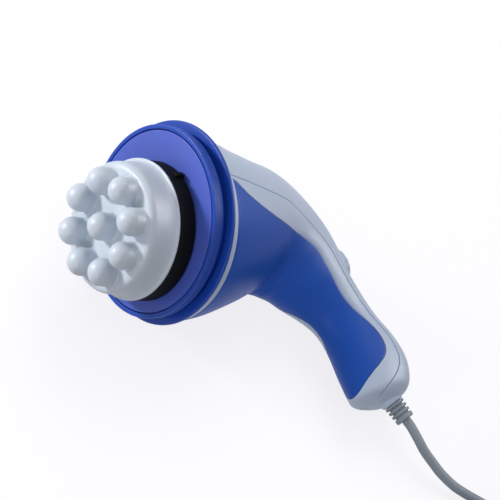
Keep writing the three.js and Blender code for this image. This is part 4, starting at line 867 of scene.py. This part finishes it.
# Head ring: spigot with a snap bead, flange, groove for a net cover, collar with a fine bead, and lip
RING_SIDES = 224
RING_BACK = -6.986
RING_BORE_RADIUS = 45
SPIGOT_RADIUS = 49.5
SNAP_MIDDLE = -5.5
SNAP_BEAD = 0.7
FLANGE_BACK = -0.7
FLANGE_FRONT = 1.414
FLANGE_RADIUS = 55
GROOVE_FRONT = 4.414
GROOVE_RADIUS = 47.6
LIP_FRONT = 11.314
COVER_SEAT = 8.614
ring = lathe("head_ring_skin", rounded([
    (RING_BACK, RING_BORE_RADIUS, 0.3), (RING_BACK, SPIGOT_RADIUS, 0.6),
    (SNAP_MIDDLE - SNAP_BEAD, SPIGOT_RADIUS, 0), (SNAP_MIDDLE, SPIGOT_RADIUS + SNAP_BEAD, 0),
    (SNAP_MIDDLE + SNAP_BEAD, SPIGOT_RADIUS, 0), (FLANGE_BACK, SPIGOT_RADIUS, 0.2),
    (FLANGE_BACK, FLANGE_RADIUS, 0.9), (FLANGE_FRONT, FLANGE_RADIUS, 1.1),
    (FLANGE_FRONT, GROOVE_RADIUS, 0.6), (GROOVE_FRONT, GROOVE_RADIUS, 0.6),
    (GROOVE_FRONT, 50.95, 0.7), (5.6, 51.15, 0), (5.9, 51.5, 0.2), (6.4, 51.55, 0.2), (6.8, 51.25, 0),
    (9.6, 51.75, 0), (LIP_FRONT, 52.2, 1.0), (LIP_FRONT, SPIGOT_RADIUS, 0.5),
    (COVER_SEAT, SPIGOT_RADIUS, 0), (COVER_SEAT, RING_BORE_RADIUS, 0.3),
]), RING_SIDES)
dressed(ring, "blue_ring", "housing", "head_ring")

# Front cover: a flat ring inside the lip, with a skirt behind it
COVER_BACK = COVER_SEAT + 0.3
COVER_FRONT = 11.3
COVER_HOLE_RADIUS = 21
COVER_RADIUS = 48.95
SKIRT_BACK = 4.914
SKIRT_RADIUS = 44.7
SKIRT_BORE_RADIUS = 43.1
cover = lathe("front_cover_skin", rounded([
    (COVER_FRONT, COVER_HOLE_RADIUS, 0.8), (COVER_FRONT, COVER_RADIUS, 0.6), (COVER_BACK, COVER_RADIUS, 0.3),
    (COVER_BACK, SKIRT_RADIUS, 0), (SKIRT_BACK, SKIRT_RADIUS, 0.3), (SKIRT_BACK, SKIRT_BORE_RADIUS, 0.3),
    (COVER_BACK, SKIRT_BORE_RADIUS, 0), (COVER_BACK, COVER_HOLE_RADIUS, 0.3),
]), RING_SIDES)
dressed(cover, "lilac_cover", "housing", "front_cover")

# Carrier: a drum with the bearing's seat inside it, a spigot in front and two lugs on its rim
WHEEL_SIDES = 176
DRUM_BACK = 12.014
DRUM_FRONT = 22.514
DRUM_RADIUS = 37.5
DRUM_WALL = 2
WEB_BACK = DRUM_FRONT - DRUM_WALL
DRUM_BORE_RADIUS = DRUM_RADIUS - DRUM_WALL
SEAT_BACK = 12.514
SEAT_BORE_RADIUS = 11.3
SEAT_RADIUS = 13.3
CARRIER_SPIGOT_RADIUS = 9.5
CARRIER_SPIGOT_BORE = 7.1
CARRIER_SPIGOT_FRONT = 32.014
LUG_LOW = (DRUM_BACK, 35.6, -1.5)
LUG_HIGH = (17.5, 39.5, 1.5)
LUG_EDGE = 0.35
LUG_ANGLE = 108
LUGS = 2


# A block with rounded edges, turned about the carrier's axis
def lug(name, angle):
    made = bmesh.new()
    corners = [
        made.verts.new((x, y, z))
        for x in (LUG_LOW[0], LUG_HIGH[0])
        for y in (LUG_LOW[1], LUG_HIGH[1])
        for z in (LUG_LOW[2], LUG_HIGH[2])
    ]
    for face in ((0, 1, 3, 2), (4, 6, 7, 5), (0, 4, 5, 1), (2, 3, 7, 6), (0, 2, 6, 4), (1, 5, 7, 3)):
        made.faces.new([corners[i] for i in face])
    bmesh.ops.bevel(made, geom=made.edges[:], offset=LUG_EDGE, segments=3, affect="EDGES", profile=0.5)
    made.verts.index_update()
    x, y, z = np.array([v.co for v in made.verts]).T
    faces = [tuple(v.index for v in f.verts) for f in made.faces]
    made.free()
    c, s = math.cos(angle), math.sin(angle)
    turned = np.stack([x, y * c - z * s + ECCENTRIC[0], y * s + z * c + ECCENTRIC[1]], 1)
    return mesh_object(name, turned, faces)


drum = lathe("carrier_skin", rounded([
    (SEAT_BACK, SEAT_BORE_RADIUS, 0.2), (SEAT_BACK, SEAT_RADIUS, 0.3), (WEB_BACK, SEAT_RADIUS, 0.6),
    (WEB_BACK, DRUM_BORE_RADIUS, 0.6), (DRUM_BACK, DRUM_BORE_RADIUS, 0.3), (DRUM_BACK, DRUM_RADIUS, 0.6),
    (DRUM_FRONT, DRUM_RADIUS, 1.2), (DRUM_FRONT, CARRIER_SPIGOT_RADIUS, 0.6),
    (CARRIER_SPIGOT_FRONT, CARRIER_SPIGOT_RADIUS, 1), (CARRIER_SPIGOT_FRONT, CARRIER_SPIGOT_BORE, 0.4),
    (WEB_BACK, CARRIER_SPIGOT_BORE, 0), (WEB_BACK, SEAT_BORE_RADIUS, 0.3),
]), WHEEL_SIDES, centre=ECCENTRIC)
merged(drum, [lug(f"lug_{i}", math.radians(LUG_ANGLE + 360 / LUGS * i)) for i in range(LUGS)])
dressed(drum, "black_plastic", "carrier", "carrier")

# Applicator: a bowl with a flared rim, a hub for the spigot, and domed studs that flow out of its face
FACE = 40.214
FACE_BACK = 37.6
RIM_BACK = 22.85
HUB_RADIUS = 12.4
HUB_BORE_RADIUS = 9.8
HUB_BORE_END = 34.6
STUD_RADIUS = 7.65
STUD_RISE = 5.1
STUD_FOOT = 1.6
STUD_SUNK = 1.5
STUD_FOOT_ANGLE = 34
STUD_FOOT_STEPS = 7
STUD_DOME_STEPS = 18
STUD_CIRCLE = 24.3
STUD_ANGLE = 153.8
OUTER_STUDS = 8
STUD_SIDES = 72


def stud(name, y, z):
    outline = [(FACE - STUD_SUNK, 0), (FACE - STUD_SUNK, STUD_RADIUS + STUD_FOOT)]
    low = math.radians(STUD_FOOT_ANGLE)
    for k in range(STUD_FOOT_STEPS + 1):
        a = low + (math.pi / 2 - low) * k / STUD_FOOT_STEPS
        x = FACE + STUD_FOOT * (math.cos(low) - math.cos(a))
        outline.append((x, STUD_RADIUS + STUD_FOOT * (1 - math.sin(a))))
    for k in range(1, STUD_DOME_STEPS):
        a = math.pi / 2 * k / STUD_DOME_STEPS
        outline.append((FACE + STUD_RISE + STUD_RADIUS * math.sin(a), STUD_RADIUS * math.cos(a)))
    outline.append((FACE + STUD_RISE + STUD_RADIUS, 0))
    return lathe(name, outline, STUD_SIDES, centre=(ECCENTRIC[0] + y, ECCENTRIC[1] + z), closed=False)


bowl = lathe("applicator_skin", rounded([
    (FACE, 0, 0), (FACE, 35.3, 4.4), (27.6, 35.75, 3), (24.2, 36.5, 1.6), (23.95, 38.1, 0.5),
    (RIM_BACK, 38.1, 0.5), (RIM_BACK, 33.4, 0.3), (26, 33.1, 1), (FACE_BACK, 32.7, 3),
    (FACE_BACK, HUB_RADIUS, 1.5), (RIM_BACK, HUB_RADIUS, 0.3), (RIM_BACK, HUB_BORE_RADIUS, 0.3),
    (HUB_BORE_END, HUB_BORE_RADIUS, 0.6), (HUB_BORE_END, 0, 0),
], closed=False, steps=10), WHEEL_SIDES, centre=ECCENTRIC, closed=False)
studs = [stud("stud", 0, 0)]
for i in range(OUTER_STUDS):
    a = math.radians(STUD_ANGLE + 360 / OUTER_STUDS * i)
    studs.append(stud(f"stud_{i}", STUD_CIRCLE * math.cos(a), STUD_CIRCLE * math.sin(a)))
merged(bowl, studs)
dressed(bowl, "white_head", "applicator", "applicator")

# Speed dial: a low knob with shallow flutes round its rim, as (height, radius, share of a flute)
DIAL_OUTLINE = [
    (-4.6, 2.5, 0), (-2.9, 2.5, 0), (-2.9, 11.8, 0.6), (-2.6, 12.1, 1), (0, 12.1, 1), (4.4, 12, 1),
    (5.3, 11.7, 1), (6, 11.1, 0.8), (6.5, 10.2, 0.4), (6.75, 9, 0.1), (6.8, 7.8, 0),
    (6.75, 6.4, 0), (6.5, 4.8, 0), (6.4, 3, 0), (6.38, 0.6, 0),
]
DIAL_SIDES = 360
FLUTES = 18
FLUTE_DEPTH = 0.2


def dial_skin():
    points, faces = [], []
    for x, r, share in DIAL_OUTLINE:
        for k in range(DIAL_SIDES):
            a = 2 * math.pi * k / DIAL_SIDES
            dip = share * FLUTE_DEPTH * (0.5 - 0.5 * math.cos(FLUTES * a))
            points.append((x, (r - dip) * math.cos(a), (r - dip) * math.sin(a)))
    for low in range(0, len(points) - DIAL_SIDES, DIAL_SIDES):
        for k in range(DIAL_SIDES):
            j = (k + 1) % DIAL_SIDES
            faces.append((low + k, low + j, low + DIAL_SIDES + j, low + DIAL_SIDES + k))
    faces.append(tuple(range(DIAL_SIDES)))
    faces.append(tuple(range(len(points) - 1, len(points) - DIAL_SIDES - 1, -1)))
    return mesh_object("speed_dial_skin", at_dial(points), faces)


dressed(dial_skin(), "light_shell", "dial", "speed_dial")

# Strain relief: a stem in the boss, and ribs that grow narrower toward the cord
STEM_RADIUS = 4.1
STEM_BACK = -13.9
RIBS_FROM = 0.3
RIBS_LENGTH = 11
RIBS = 4
RIB_RADIUS = 5.9
RIB_TAPER = 0.7
RIB_TAPER_FROM = 1.2
RIB_PITCH = (RIBS_LENGTH - RIBS_FROM) / RIBS
FIRST_RIB_BACK = 0.35
FIRST_RIB_RADIUS = 5.85
GROOVE_WIDTH = 1.15
GROOVE_FLOOR_FROM = 0.95
GROOVE_FLOOR_TO = 0.15
NEXT_RIB_LOWER = 0.1
CORD_HOLE_RADIUS = 2.7
CORD_HOLE_DEPTH = 1


# Each groove lies before the end of its rib's pitch
def relief_skin():
    outline = [(STEM_BACK, 0, 0), (STEM_BACK, STEM_RADIUS, 0.5)]
    outline += [(FIRST_RIB_BACK, STEM_RADIUS, 0), (FIRST_RIB_BACK, FIRST_RIB_RADIUS, 0.4)]
    for i in range(1, RIBS + 1):
        end = RIBS_FROM + i * RIB_PITCH
        wide = RIB_RADIUS - RIB_TAPER * (end - RIB_TAPER_FROM) / RIBS_LENGTH
        if i == RIBS:
            outline += [(end, wide, 0.9), (end, CORD_HOLE_RADIUS, 0.3), (end - CORD_HOLE_DEPTH, 0, 0)]
        else:
            outline += [(end - GROOVE_WIDTH, wide, 0.5), (end - GROOVE_FLOOR_FROM, STEM_RADIUS, 0.3)]
            outline += [(end - GROOVE_FLOOR_TO, STEM_RADIUS, 0.3), (end, wide - NEXT_RIB_LOWER, 0.5)]
    return lathe("strain_relief_skin", rounded(outline, closed=False), place=at_exit, closed=False)


dressed(relief_skin(), "light_cord", "housing", "strain_relief")


# One for rays that see the ground or the backdrop straight, in a reflection or through something
def seen_rays(tree):
    path = tree.nodes.new("ShaderNodeLightPath")
    seen = path.outputs["Is Camera Ray"]
    for ray in ("Is Glossy Ray", "Is Transmission Ray"):
        either = tree.nodes.new("ShaderNodeMath")
        either.operation = "MAXIMUM"
        tree.links.new(seen, either.inputs[0])
        tree.links.new(path.outputs[ray], either.inputs[1])
        seen = either.outputs[0]
    return seen


# Floor: a grey that takes the shadow, with a glow where it is seen
FLOOR_REACH = 4
FLOOR_COLOR = (0.3, 0.3, 0.31, 1)
FLOOR_ROUGHNESS = 0.9
FLOOR_SPECULAR = 0.1
FLOOR_GLOW_COLOR = (0.985, 0.975, 1.0, 1)
FLOOR_GLOW = 0.8
floor_corners = [(x * FLOOR_REACH, y * FLOOR_REACH, 0) for x, y in ((-1, -1), (1, -1), (1, 1), (-1, 1))]
floor_mesh = bpy.data.meshes.new("floor")
floor_mesh.from_pydata(floor_corners, [], [(0, 1, 2, 3)])
floor =bpy.data.objects.new("floor", floor_mesh)
bpy.context.scene.collection.objects.link(floor)
floor_material = bpy.data.materials.new("floor")
floor_material.use_nodes = True
floor_tree = floor_material.node_tree
floor_shader = floor_tree.nodes["Principled BSDF"]
floor_shader.inputs["Base Color"].default_value = FLOOR_COLOR
floor_shader.inputs["Roughness"].default_value = FLOOR_ROUGHNESS
floor_shader.inputs["Specular IOR Level"].default_value = FLOOR_SPECULAR
glow = floor_tree.nodes.new("ShaderNodeEmission")
glow.inputs["Color"].default_value = FLOOR_GLOW_COLOR
level = floor_tree.nodes.new("ShaderNodeMath")
level.operation = "MULTIPLY"
level.inputs[1].default_value = FLOOR_GLOW
floor_tree.links.new(seen_rays(floor_tree), level.inputs[0])
floor_tree.links.new(level.outputs[0], glow.inputs["Strength"])
both = floor_tree.nodes.new("ShaderNodeAddShader")
floor_tree.links.new(floor_shader.outputs[0], both.inputs[0])
floor_tree.links.new(glow.outputs[0], both.inputs[1])
floor_tree.links.new(both.outputs[0], floor_tree.nodes["Material Output"].inputs["Surface"])
floor.data.materials.append(floor_material)

# Backdrop: white where it is seen, and dimmer as a light
BACKDROP_COLOR = (0.972, 0.965, 1.0, 1)
BACKDROP_LIGHT = 0.4
BACKDROP_SEEN = 1.0
world = bpy.data.worlds.new("studio")
world.use_nodes = True
bpy.context.scene.world = world
background = world.node_tree.nodes["Background"]
background.inputs["Color"].default_value = BACKDROP_COLOR
strength = world.node_tree.nodes.new("ShaderNodeMapRange")
strength.inputs["To Min"].default_value = BACKDROP_LIGHT
strength.inputs["To Max"].default_value = BACKDROP_SEEN
world.node_tree.links.new(seen_rays(world.node_tree), strength.inputs["Value"])
world.node_tree.links.new(strength.outputs["Result"], background.inputs["Strength"])


# A round lamp, placed in the camera's directions from the head and aimed at it
def lamp(name, right, up, back, size, power, tint=(1, 1, 1)):
    data = bpy.data.lights.new(name, "AREA")
    data.shape = "DISK"
    data.size = size
    data.energy = power
    data.color = tint
    obj = bpy.data.objects.new(name, data)
    bpy.context.scene.collection.objects.link(obj)
    obj.location = CENTRE + VIEW_RIGHT * right + VIEW_UP * up + VIEW_BACK * back
    obj.rotation_mode = "QUATERNION"
    obj.rotation_quaternion = (CENTRE - obj.location).to_track_quat("-Z", "Y")
    return obj


lamp("key", -0.9, 0.5, 0.15, size=0.2, power=8)
lamp("low", -0.6, -0.4, 0.7, size=0.4, power=1.8)
lamp("fill", 0.4, 0.95, 0.35, size=0.8, power=3.6, tint=(0.95, 0.97, 1))
sheen = lamp("sheen", 0.95, 0.35, 0.1, size=0.6, power=9)
sheen.visible_diffuse = False
